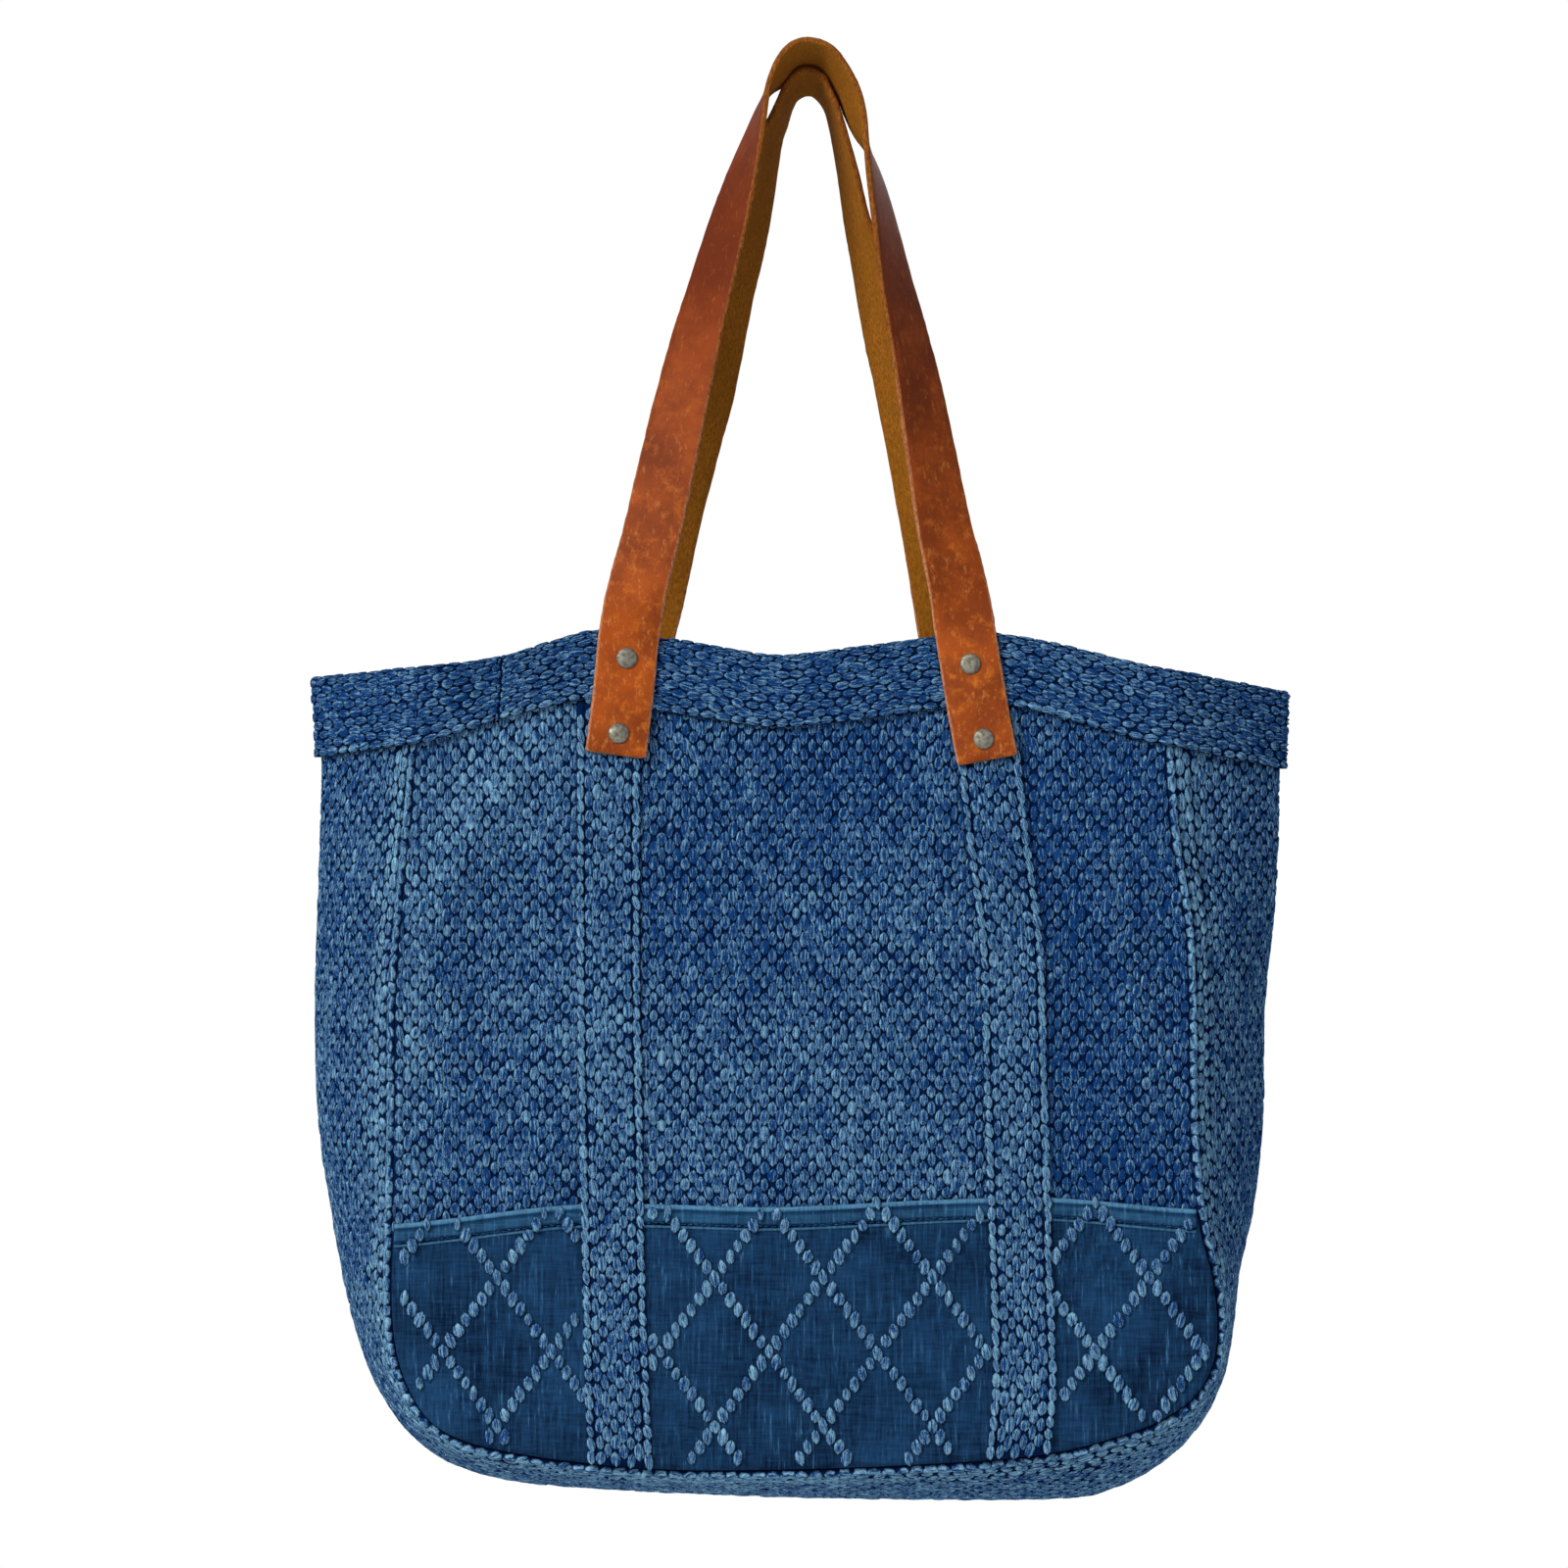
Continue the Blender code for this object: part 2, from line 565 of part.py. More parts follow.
def build_strip(name, middle_column, side, over_pocket, shade):
    """Cloth strip from under the handle's end down to the base seam."""
    key = column(STRIP_ROWS, STRIP_COLUMNS, "drop")
    middle_x = HANDLE_HALF_SPAN * column(STRIP_ROWS, STRIP_COLUMNS, middle_column)
    top = mouth_z(middle_x[0]) - band_depth(middle_x[0]) - BAND_GAP
    base = base_seam_z(middle_x[-1]) + EDGE_INSET
    hem = hem_z(middle_x[POCKET_HEM_ROW])
    # Stations run evenly, with one pair that steps up onto the pocket
    step_run = 4 * POCKET_CLOTH
    z = np.concatenate((np.linspace(top, hem + 2 * step_run, STRIP_STEPS * 2 // 3),
                        np.linspace(hem + step_run, base, STRIP_STEPS // 3 + 1)))
    x = smooth_by(key, middle_x, (-z - MOUTH_DROP) / BODY_HEIGHT)
    below = (z <= hem + step_run + 1e-6) & over_pocket
    lift = LAY_GAP + below * (POCKET_CLOTH + LAY_GAP)
    across = np.linspace(-0.5, 0.5, STRIP_COLUMNS_ACROSS) * STRIP_WIDTH
    grid_x = x[:, None] + across
    # The lower end follows the base seam's slope
    slope = base_seam_z(grid_x[-1]) - base_seam_z(x[-1])
    end = np.clip((np.arange(len(z)) - len(z) + 1) / STRIP_END_ROWS + 1.0, 0.0, 1.0)
    rise = mouth_z(grid_x[0]) - band_depth(grid_x[0]) - BAND_GAP - top
    start = np.clip(1.0 - np.arange(len(z)) / STRIP_END_ROWS, 0.0, 1.0)
    grid_z = z[:, None] + end[:, None] * slope + start[:, None] * rise
    faces = [on_panel(grid_x, grid_z, lift[:, None] + extra, side) for extra in (CLOTH, 0.0)]
    return wall(name, *faces, shade)


def strap_path(rows, side, hang_y):
    """Middle line, width direction and grain direction of a handle."""
    x = column(rows, STRAP_COLUMNS, "x") * HANDLE_HALF_SPAN
    z = column(rows, STRAP_COLUMNS, "z") * MOUTH_DROP
    lift = BAND_LAY_GAP + STRAP_LAY_GAP + CLOTH + 0.5 * LEATHER
    y = side * (front_depth(x, z) + lift)
    last = len(rows) - 1 - LAST_ROW_ON_BAG
    for row in range(LAST_ROW_ON_BAG + 1, last):
        foot = LAST_ROW_ON_BAG if row < len(rows) / 2 else last
        rise = np.clip((z[row] - z[foot]) / -z[foot], 0.0, 1.0)
        y[row] = y[foot] + (hang_y - y[foot]) * rise
    turn = column(rows, STRAP_COLUMNS, "turn")
    # On the bag the strap lies flat on the cloth, which stands further out towards the seams
    rise_in_x = front_depth(x + SLOPE_STEP, z) - front_depth(x - SLOPE_STEP, z)
    slope = rise_in_x / (2 * SLOPE_STEP) * np.sign(x)
    on_bag = np.minimum(np.arange(len(rows)), np.arange(len(rows))[::-1]) <= LAST_ROW_ON_BAG
    turn = turn - np.degrees(np.arctan(slope)) * on_bag
    at = np.linspace(0, len(rows) - 1, (len(rows) - 1) * STRAP_STEPS_PER_ROW + 1)
    path = smooth(np.stack((x, y, z, turn), axis=1), at)
    line, turn = path[:, :3], np.radians(path[:, 3])[:, None]
    forward = np.gradient(line, axis=0)
    forward /= np.linalg.norm(forward, axis=-1, keepdims=True)
    inward = np.stack((forward[:, 2], np.zeros(len(line)), -forward[:, 0]), axis=1)
    inward /= np.linalg.norm(inward, axis=-1, keepdims=True)
    towards_viewer = np.array((0.0, -1.0, 0.0))
    width = -side * np.cos(turn) * inward + np.sin(turn) * towards_viewer
    width -= forward * (width * forward).sum(axis=-1, keepdims=True)
    width /= np.linalg.norm(width, axis=-1, keepdims=True)
    grain = -side * np.cross(width, forward)
    grain *= np.sign(-(grain * inward).sum(axis=-1, keepdims=True) * np.sin(turn)
                     + side * grain[:, 1:2] * np.cos(turn))
    return line, width, grain


def build_handle(name, rows, side, hang_y, shade):
    line, width, grain = strap_path(rows, side, hang_y)
    corners = ((-1, -1), (1, -1), (1, 1), (-1, 1))
    loops = np.stack([line + 0.5 * (a * STRAP_WIDTH * width + b * LEATHER * grain)
                      for a, b in corners], axis=1)
    count = len(loops)
    faces = [tuple(range(4)), tuple(range(4 * count - 1, 4 * count - 5, -1))]
    for ring in range(count - 1):
        for corner in range(4):
            here, there = 4 * ring + corner, 4 * ring + (corner + 1) % 4
            faces.append((here, there, there + 4, here + 4))
    return add_object(name, loops.reshape(-1, 3), faces, shade, SHARP_HARD_EDGE)


def rivet_places(rows, side, hang_y):
    """Two rivets at each end of a handle: a point on its middle line and the outward direction."""
    line, _, grain = strap_path(rows, side, hang_y)
    places = {}
    for end, order in (("left", slice(None)), ("right", slice(None, None, -1))):
        points, out = line[order], grain[order]
        steps = np.linalg.norm(np.diff(points, axis=0), axis=1)
        length = np.concatenate(((0.0,), np.cumsum(steps)))
        for level, away in (("lower", RIVET_FROM_END), ("upper", RIVET_FROM_END + RIVET_PITCH)):
            point = [np.interp(away, length, points[:, axis]) for axis in range(3)]
            axis_out = [np.interp(away, length, out[:, axis]) for axis in range(3)]
            places[end + "_" + level] = (Vector(point), Vector(axis_out).normalized())
    return places


def build_rivet(name, place, shade):
    """Domed cap, shank through leather and cloth, and a flat burr inside the bag."""
    point, outward = place
    cap_seat = 0.5 * LEATHER + SEAT_GAP
    layers = 0.5 * LEATHER + BAND_LAY_GAP + STRAP_LAY_GAP + 2 * CLOTH
    burr_seat = -(layers + SEAT_GAP)
    burr_back = burr_seat - RIVET_BURR_HEIGHT
    profile = [(0.0, burr_back), (RIVET_BURR_RADIUS, burr_back),
               (RIVET_BURR_RADIUS, burr_seat), (SHANK_RADIUS, burr_seat),
               (SHANK_RADIUS, cap_seat), (RIVET_CAP_RADIUS, cap_seat)]
    for step in range(1, DOME_STEPS + 1):
        angle = 0.5 * math.pi * step / DOME_STEPS
        profile.append((RIVET_CAP_RADIUS * math.cos(angle),
                        cap_seat + RIVET_CAP_HEIGHT * math.sin(angle)))
    shell = bmesh.new()
    verts = [shell.verts.new((radius, 0.0, height)) for radius, height in profile]
    edges = [shell.edges.new(pair) for pair in zip(verts[:-1], verts[1:])]
    bmesh.ops.spin(shell, geom=verts + edges, cent=(0, 0, 0), axis=(0, 0, 1),
                   angle=2 * math.pi, steps=RIVET_SIDES, use_merge=True)
    bmesh.ops.remove_doubles(shell, verts=shell.verts, dist=1e-6)
    bmesh.ops.recalc_face_normals(shell, faces=shell.faces)
    mesh = bpy.data.meshes.new(name)
    shell.to_mesh(mesh)
    shell.free()
    mesh.materials.append(shade)
    mesh.shade_smooth()
    mesh.set_sharp_from_angle(angle=SHARP_HARD_EDGE)
    rivet = bpy.data.objects.new(name, mesh)
    bpy.context.scene.collection.objects.link(rivet)
    turn = outward.to_track_quat("Z", "Y").to_matrix().to_4x4()
    rivet.matrix_world = Matrix.Translation(point) @ turn
    return rivet


def rivet_drill(name, places):
    """One cutter with a straight hole for each shank."""
    shell = bmesh.new()
    for point, outward in places.values():
        turn = outward.to_track_quat("Z", "Y").to_matrix().to_4x4()
        radius = SHANK_RADIUS + HOLE_CLEARANCE
        bmesh.ops.create_cone(shell, cap_ends=True, segments=RIVET_SIDES, radius1=radius,
                              radius2=radius, depth=2 * (LEATHER + 4 * CLOTH),
                              matrix=Matrix.Translation(point) @ turn)
    mesh = bpy.data.meshes.new(name)
    shell.to_mesh(mesh)
    shell.free()
    cutter = bpy.data.objects.new(name, mesh)
    bpy.context.scene.collection.objects.link(cutter)
    cutter.hide_render = True
    cutter.display_type = "WIRE"
    return cutter


def drill(piece, cutter):
    hole = piece.modifiers.new("rivet_holes", "BOOLEAN")
    hole.operation = "DIFFERENCE"
    hole.solver = "EXACT"
    hole.object = cutter


def build_bag():
    for old in list(bpy.data.objects):
        bpy.data.objects.remove(old, do_unlink=True)
    rice_weave = material("indigo_rice_weave", (0.030, 0.110, 0.250), 0.92)
    gusset_weave = material("indigo_gusset_weave", (0.045, 0.140, 0.290), 0.92)
    plain_weave = material("indigo_plain_weave", (0.012, 0.050, 0.120), 0.90)
    leather = material("tan_leather", (0.310, 0.075, 0.022), 0.50)
    old_brass = material("old_brass", (0.210, 0.190, 0.150), 0.45, 1.0)

    front, back, across = build_body(rice_weave, gusset_weave)
    band = build_band(across, rice_weave)
    build_pocket(plain_weave)
    for side, word, rows, hang_y, panel in ((FRONT, "front", FRONT_STRAP_ROWS, FRONT_HANG_Y, front),
                                            (BACK, "back", BACK_STRAP_ROWS, BACK_HANG_Y, back)):
        strips = [build_strip(word + "_left_strip", "left_x", side, side == FRONT, rice_weave),
                  build_strip(word + "_right_strip", "right_x", side, side == FRONT, rice_weave)]
        handle = build_handle(word + "_handle", rows, side, hang_y, leather)
        places = rivet_places(rows, side, hang_y)
        cutter = rivet_drill(word + "_rivet_holes", places)
        for piece in (handle, panel, band, *strips):
            drill(piece, cutter)
        for name, place in places.items():
            build_rivet(word + "_" + name + "_rivet", place, old_brass)


build_bag()
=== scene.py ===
# A hanging cotton tote bag in indigo rice-grain weave, with two riveted leather handles.
# The CAD model gives the frame; every visible piece here is made anew on top of it.
import math

import bpy
import numpy as np
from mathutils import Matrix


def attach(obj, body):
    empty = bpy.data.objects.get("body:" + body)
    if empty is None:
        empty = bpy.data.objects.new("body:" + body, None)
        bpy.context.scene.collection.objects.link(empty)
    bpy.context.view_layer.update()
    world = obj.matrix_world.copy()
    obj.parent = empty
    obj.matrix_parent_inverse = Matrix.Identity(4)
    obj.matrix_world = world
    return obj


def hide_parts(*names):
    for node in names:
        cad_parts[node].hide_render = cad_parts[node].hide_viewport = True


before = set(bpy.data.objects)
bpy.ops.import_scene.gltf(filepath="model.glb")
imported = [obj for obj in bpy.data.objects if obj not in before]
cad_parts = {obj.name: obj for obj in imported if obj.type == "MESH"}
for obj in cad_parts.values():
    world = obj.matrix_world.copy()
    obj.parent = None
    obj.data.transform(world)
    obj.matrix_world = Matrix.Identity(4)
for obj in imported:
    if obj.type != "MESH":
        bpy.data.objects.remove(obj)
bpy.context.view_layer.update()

print("stage: frame loaded,", len(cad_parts), "CAD pieces")

# Sizes of the bag in metres, as in the CAD model
bag = {
    "halfWidth": 0.240,       # middle to the fold of the gusset at the mouth
    "halfDepth": 0.060,       # middle to the front cloth at the base
    "mouthDrop": 0.270,       # hang point down to the mouth at the handles
    "mouthDip": 0.030,        # how far the mouth falls towards its ends
    "bodyHeight": 0.412,      # mouth at the handles down to the base seam
    "bandHeight": 0.038,
    "cloth": 0.0020,
    "handleSpan": 0.090,      # middle of the bag to the middle of a handle's end
    "stripWidth": 0.0315,
    "handleSide": 0.40,       # where the middle column of depthRows lies, share of halfWidth
    "seamSide": 0.80,
    "leftCorner": 9,          # rows of edgeRows at the two base corners
    "rightCorner": 20,
}

# Seam and fold of the gusset from the left of the mouth round the base to the right:
# seam x and drop, fold x and drop (shares of halfWidth and bodyHeight), power of the profile
edgeRows = np.array((
    (-0.791, 0.041, -1.010, 0.054, 1.20), (-0.799, 0.140, -1.000, 0.155, 1.25),
    (-0.821, 0.295, -1.006, 0.295, 1.40), (-0.839, 0.428, -1.012, 0.434, 1.55),
    (-0.841, 0.581, -1.006, 0.581, 1.70), (-0.845, 0.704, -0.974, 0.710, 1.80),
    (-0.849, 0.794, -0.942, 0.804, 1.90), (-0.839, 0.857, -0.905, 0.877, 2.00),
    (-0.813, 0.902, -0.861, 0.928, 2.00), (-0.768, 0.941, -0.801, 0.971, 2.00),
    (-0.698, 0.965, -0.718, 1.001, 2.00), (-0.587, 0.980, -0.599, 1.020, 2.00),
    (-0.426, 0.992, -0.432, 1.029, 2.00), (-0.238, 1.000, -0.234, 1.035, 2.00),
    (-0.018, 0.999, -0.012, 1.040, 2.00), (0.200, 0.994, 0.200, 1.042, 2.00),
    (0.369, 0.988, 0.381, 1.043, 2.00), (0.518, 0.978, 0.547, 1.041, 2.00),
    (0.623, 0.963, 0.643, 1.029, 2.00), (0.714, 0.945, 0.734, 1.000, 2.00),
    (0.789, 0.917, 0.809, 0.958, 2.00), (0.835, 0.878, 0.863, 0.898, 2.00),
    (0.848, 0.827, 0.886, 0.830, 1.90), (0.837, 0.768, 0.900, 0.764, 1.80),
    (0.808, 0.698, 0.928, 0.692, 1.70), (0.791, 0.592, 0.948, 0.592, 1.60),
    (0.789, 0.451, 0.952, 0.451, 1.50), (0.782, 0.347, 0.972, 0.340, 1.40),
    (0.756, 0.253, 0.982, 0.246, 1.30), (0.744, 0.158, 0.984, 0.176, 1.25),
    (0.738, 0.046, 0.990, 0.073, 1.20)))
# Mouth edge: x, dip and band height as shares of halfWidth, mouthDip and bandHeight
mouthRows = np.array((
    (-1.010, 0.74, 1.03), (-0.800, 0.58, 1.00), (-0.627, 0.41, 0.80), (-0.430, -0.03, 0.88),
    (-0.300, 0.10, 0.93), (-0.245, 0.15, 0.95), (-0.075, 0.37, 0.93), (0.010, 0.34, 0.93),
    (0.140, 0.22, 0.93), (0.265, 0.08, 0.93), (0.400, 0.03, 0.90), (0.690, 0.52, 0.98),
    (0.990, 0.97, 1.00)))
# Drop, and depth of the front at the middle, at the handles and at the seams
depthRows = np.array((
    (0.00, 0.42, 0.48, 0.65), (0.15, 0.58, 0.58, 0.70), (0.40, 0.82, 0.78, 0.79),
    (0.70, 1.00, 0.95, 0.92), (1.00, 1.00, 1.00, 1.00)))
# Pulled folds: start x and drop, end x and drop, height and width as shares of halfDepth
foldRows = (
    (-0.610, 0.170, -0.770, 0.330, 0.070, 0.22),
    (0.540, 0.180, 0.700, 0.520, 0.080, 0.22),
    (0.560, 0.180, 0.600, 0.420, -0.040, 0.20))
# Soft ripples of the hanging cloth: waves a metre along x and z, where they start, height
rippleRows = (
    (38, 21, 0.3, 0.0010), (-27, 44, 1.9, 0.0008), (61, -33, 4.1, 0.0006), (15, -58, 2.2, 0.0006))
# Where the dye has worn off, and painted light along folds, with painted shade where the amount is below
# zero: line from x and drop to x and drop, amount, width in metres
wearLightAndShadeRows = (
    (-0.560, 0.090, -0.770, 0.270, 0.24, 0.020),
    (-0.785, 0.330, -0.830, 0.720, 0.22, 0.014),
    (0.500, 0.120, 0.640, 0.300, 0.22, 0.012),
    (0.655, 0.340, 0.712, 0.560, 0.18, 0.012),
    (-0.300, 0.450, 0.150, 0.640, 0.10, 0.050),
    (0.100, 0.130, -0.250, 0.330, -0.14, 0.040),
    (0.600, 0.150, 0.660, 0.950, -0.26, 0.055))
hemRows = np.array((
    (-0.841, 0.707), (-0.464, 0.684), (-0.058, 0.686), (0.369, 0.676), (0.508, 0.676), (0.799, 0.690)))
# Drop and the two middle lines of the strips, as shares of handleSpan
stripRows = np.array((
    (0.100, -1.0747, 0.9947), (0.253, -1.0747, 1.0587), (0.378, -1.0693, 1.1307),
    (0.555, -1.0587, 1.1520), (0.740, -1.0427, 1.1733), (0.900, -1.0213, 1.1947),
    (1.000, -1.0053, 1.1520)))
# Handles: x as a share of half the span, z of mouthDrop, turn from facing outwards in degrees
strapRows = {
    "front": np.array((
        (-1.033, -1.221, 0), (-0.995, -1.113, 0), (-0.963, -1.004, 0), (-0.912, -0.911, 12),
        (-0.839, -0.817, 18), (-0.748, -0.681, 22), (-0.672, -0.568, 28), (-0.592, -0.457, 36),
        (-0.527, -0.378, 42), (-0.436, -0.267, 50), (-0.363, -0.180, 59), (-0.288, -0.094, 72),
        (-0.215, -0.011, 88), (-0.148, 0.022, 103), (-0.075, 0.056, 109), (0.003, 0.068, 113),
        (0.105, 0.061, 111), (0.177, 0.034, 110), (0.237, -0.001, 109), (0.277, -0.038, 107),
        (0.312, -0.075, 100), (0.350, -0.111, 88), (0.393, -0.169, 77), (0.441, -0.245, 69),
        (0.500, -0.350, 59), (0.565, -0.446, 51), (0.629, -0.548, 43), (0.694, -0.672, 35),
        (0.766, -0.807, 26), (0.839, -0.913, 14), (0.885, -1.006, 0), (0.941, -1.124, 0),
        (1.000, -1.231, 0)), float),
    "back": np.array((
        (-0.957, -1.221, 0), (-0.920, -1.113, 0), (-0.887, -1.004, 0), (-0.826, -0.922, 12),
        (-0.734, -0.795, 26), (-0.610, -0.648, 35), (-0.511, -0.542, 43), (-0.393, -0.374, 53),
        (-0.312, -0.283, 60), (-0.250, -0.191, 65), (-0.191, -0.090, 71), (-0.145, -0.051, 75),
        (-0.108, -0.020, 78), (-0.070, 0.003, 76), (-0.003, 0.021, 69), (0.066, 0.016, 72),
        (0.112, -0.003, 79), (0.150, -0.026, 81), (0.178, -0.056, 80), (0.204, -0.091, 78),
        (0.245, -0.152, 74), (0.290, -0.230, 69), (0.341, -0.294, 62), (0.433, -0.438, 54),
        (0.519, -0.550, 47), (0.656, -0.751, 33), (0.739, -0.882, 18), (0.804, -1.004, 0),
        (0.860, -1.124, 0), (0.914, -1.231, 0)), float),
}

frontSide, backSide = -1.0, 1.0


def smoothRows(values, at):
    # Catmull-Rom curve through the rows, read at row numbers between them
    values = np.asarray(values, float)
    last = len(values) - 1
    at = np.clip(np.asarray(at, float), 0.0, last)
    row = np.minimum(at.astype(int), last - 1)
    part = at - row
    if values.ndim > 1:
        part = part[..., None]
    a, b = values[np.maximum(row - 1, 0)], values[row]
    c, d = values[row + 1], values[np.minimum(row + 2, last)]
    curve = 2 * b + (c - a) * part + (2 * a - 5 * b + 4 * c - d) * part ** 2
    return 0.5 * (curve + (3 * b - a - 3 * c + d) * part ** 3)


def smoothBy(key, values, at):
    # the same curve, read by a key column that rises
    return smoothRows(values, np.interp(at, key, np.arange(len(key))))


def mouthZ(x):
    share = smoothBy(mouthRows[:, 0], mouthRows[:, 1], np.asarray(x) / bag["halfWidth"])
    return -bag["mouthDrop"] - bag["mouthDip"] * share


def bandDepth(x):
    share = smoothBy(mouthRows[:, 0], mouthRows[:, 2], np.asarray(x) / bag["halfWidth"])
    return bag["bandHeight"] * share


def dropOf(z):
    return (-np.asarray(z) - bag["mouthDrop"]) / bag["bodyHeight"]


def zOf(drop):
    return -bag["mouthDrop"] - np.asarray(drop) * bag["bodyHeight"]


def frontDepth(x, z):
    # depth = even quartic in x through the three columns, plus one bell-shaped ridge per fold
    x, z = np.broadcast_arrays(np.asarray(x, float), np.asarray(z, float))
    middle, handle, seam = (smoothBy(depthRows[:, 0], depthRows[:, k], dropOf(z)) for k in (1, 2, 3))
    near, far = bag["handleSide"] ** 2, bag["seamSide"] ** 2
    square = (x / bag["halfWidth"]) ** 2
    fourth = ((seam - middle) - (handle - middle) * far / near) / (far ** 2 - near * far)
    second = (handle - middle) / near - near * fourth
    depth = bag["halfDepth"] * (middle + second * square + fourth * square ** 2)
    for x0, drop0, x1, drop1, height, width in foldRows:
        start = np.array((x0 * bag["halfWidth"], zOf(drop0)))
        run = np.array((x1 * bag["halfWidth"], zOf(drop1))) - start
        along = np.clip(((x - start[0]) * run[0] + (z - start[1]) * run[1]) / (run @ run), 0.0, 1.0)
        away = np.hypot(x - start[0] - along * run[0], z - start[1] - along * run[1])
        depth = depth + height * bag["halfDepth"] * np.exp(-(away / (width * bag["halfDepth"])) ** 2)
    for waveX, waveZ, start, height in rippleRows:
        depth = depth + height * np.sin(waveX * x + waveZ * z + start)
    return depth


def wearLightAndShade(x, z):
    # paler cloth along some lines, worn dye and painted light, and painted shade where the amount is
    # below zero; a bell across each one
    total = np.zeros(np.shape(x))
    for x0, drop0, x1, drop1, amount, width in wearLightAndShadeRows:
        start = np.array((x0 * bag["halfWidth"], zOf(drop0)))
        run = np.array((x1 * bag["halfWidth"], zOf(drop1))) - start
        along = np.clip(((x - start[0]) * run[0] + (z - start[1]) * run[1]) / (run @ run), 0.0, 1.0)
        away = np.hypot(x - start[0] - along * run[0], z - start[1] - along * run[1])
        total += amount * np.exp(-(away / width) ** 2)
    return total


def onPanel(x, z, lift, side):
    # point of the front or back cloth, moved lift along the surface normal
    step = 0.001
    depth = frontDepth(x, z)
    slopeX = (frontDepth(x + step, z) - depth) / step
    slopeZ = (frontDepth(x, z + step) - depth) / step
    size = np.sqrt(1.0 + slopeX ** 2 + slopeZ ** 2)
    return np.stack((x - lift * slopeX / size, side * (depth + lift / size),
                     z - lift * slopeZ / size), axis=-1)


def edgeCurve(at):
    seamX, seamDrop, foldX, foldDrop, bow = smoothRows(edgeRows, at).T
    return seamX * bag["halfWidth"], zOf(seamDrop), foldX * bag["halfWidth"], zOf(foldDrop), bow


def gussetPoint(seamX, seamZ, foldX, foldZ, bow, across):
    # seam + (fold - seam) * (1 - |across|^bow) in x and z, depth of the seam * across in y
    out = 1.0 - np.abs(across) ** bow
    return np.stack((seamX + (foldX - seamX) * out, frontDepth(seamX, seamZ) * across,
                     seamZ + (foldZ - seamZ) * out), axis=-1)


def baseSeamZ(x):
    seamX, seamZ = edgeCurve(np.linspace(bag["leftCorner"], bag["rightCorner"], 120))[:2]
    return np.interp(x, seamX, seamZ)


def sideSeamX(z, right):
    rows = (bag["rightCorner"], len(edgeRows) - 1) if right else (0, bag["leftCorner"])
    seamX, seamZ = edgeCurve(np.linspace(*rows, 160))[:2]
    order = np.argsort(seamZ)
    return np.interp(z, seamZ[order], seamX[order])


def hemZ(x):
    return zOf(smoothBy(hemRows[:, 0] * bag["halfWidth"], hemRows[:, 1], x))


def stripX(z, column):
    return bag["handleSpan"] * smoothBy(stripRows[:, 0], stripRows[:, column], dropOf(z))


# Mesh making

def makeMesh(name, points, faces, material, attributes=None, smooth=True):
    # points (n, 3) and faces (m, k) go into a mesh in one step; attributes are per point
    faces = np.asarray(faces, np.int32)
    points = np.asarray(points, np.float32).reshape(-1, 3)
    mesh = bpy.data.meshes.new(name)
    mesh.vertices.add(len(points))
    mesh.vertices.foreach_set("co", points.ravel())
    size = faces.shape[1]
    mesh.loops.add(faces.size)
    mesh.loops.foreach_set("vertex_index", faces.ravel())
    mesh.polygons.add(len(faces))
    mesh.polygons.foreach_set("loop_start", np.arange(0, faces.size, size, dtype=np.int32))
    mesh.update(calc_edges=True)
    mesh.validate()
    for key, values in (attributes or {}).items():
        values = np.asarray(values, np.float32)
        kind = "FLOAT" if values.ndim == 1 else "FLOAT_VECTOR"
        layer = mesh.attributes.new(key, kind, "POINT")
        layer.data.foreach_set("value" if kind == "FLOAT" else "vector", values.ravel())
    if smooth:
        mesh.shade_smooth()
    mesh.materials.append(material)
    piece = bpy.data.objects.new(name, mesh)
    bpy.context.scene.collection.objects.link(piece)
    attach(piece, "root")
    return piece


def gridFaces(rows, columns, ring=False):
    number = np.arange(rows * columns).reshape(rows, columns)
    if ring:
        number = np.concatenate((number, number[:, :1]), axis=1)
    corners = (number[:-1, :-1], number[:-1, 1:], number[1:, 1:], number[1:, :-1])
    return np.stack(corners, axis=-1).reshape(-1, 4)


def wallMesh(name, outer, inner, material, ring=False, flip=False, inside=None):
    # a closed wall: outer grid, inner grid turned round, and a rim of quads between their edges
    rows, columns = outer.shape[:2]
    back = rows * columns
    outerFaces = gridFaces(rows, columns, ring)
    number = np.arange(back).reshape(rows, columns)
    if ring:
        wide = np.concatenate((number, number[:, :1]), axis=1)
        rims = [wide[0][::-1], wide[-1]]
    else:
        rims = [np.concatenate((number[0], number[1:, -1], number[-1, -2::-1], number[-2::-1, 0]))[::-1]]
    rimFaces = np.concatenate([np.stack((rim[:-1], rim[1:], rim[1:] + back, rim[:-1] + back), axis=1)
                               for rim in rims])
    faces = np.concatenate((outerFaces, outerFaces[:, ::-1] + back, rimFaces))
    if flip:
        faces = faces[:, ::-1]
    lining = np.concatenate((np.zeros(back), np.ones(back)))
    piece = makeMesh(name, np.concatenate((outer.reshape(-1, 3), inner.reshape(-1, 3))), faces, material,
                     {"lining": lining})
    if inside is not None:
        piece.data.materials.append(inside)
        slots = np.zeros(len(faces), np.int32)
        slots[len(outerFaces):2 * len(outerFaces)] = 1
        piece.data.polygons.foreach_set("material_index", slots)
    return piece


def gridNormals(grid):
    normal = np.cross(np.gradient(grid, axis=1), np.gradient(grid, axis=0))
    return normal / np.linalg.norm(normal, axis=-1, keepdims=True)


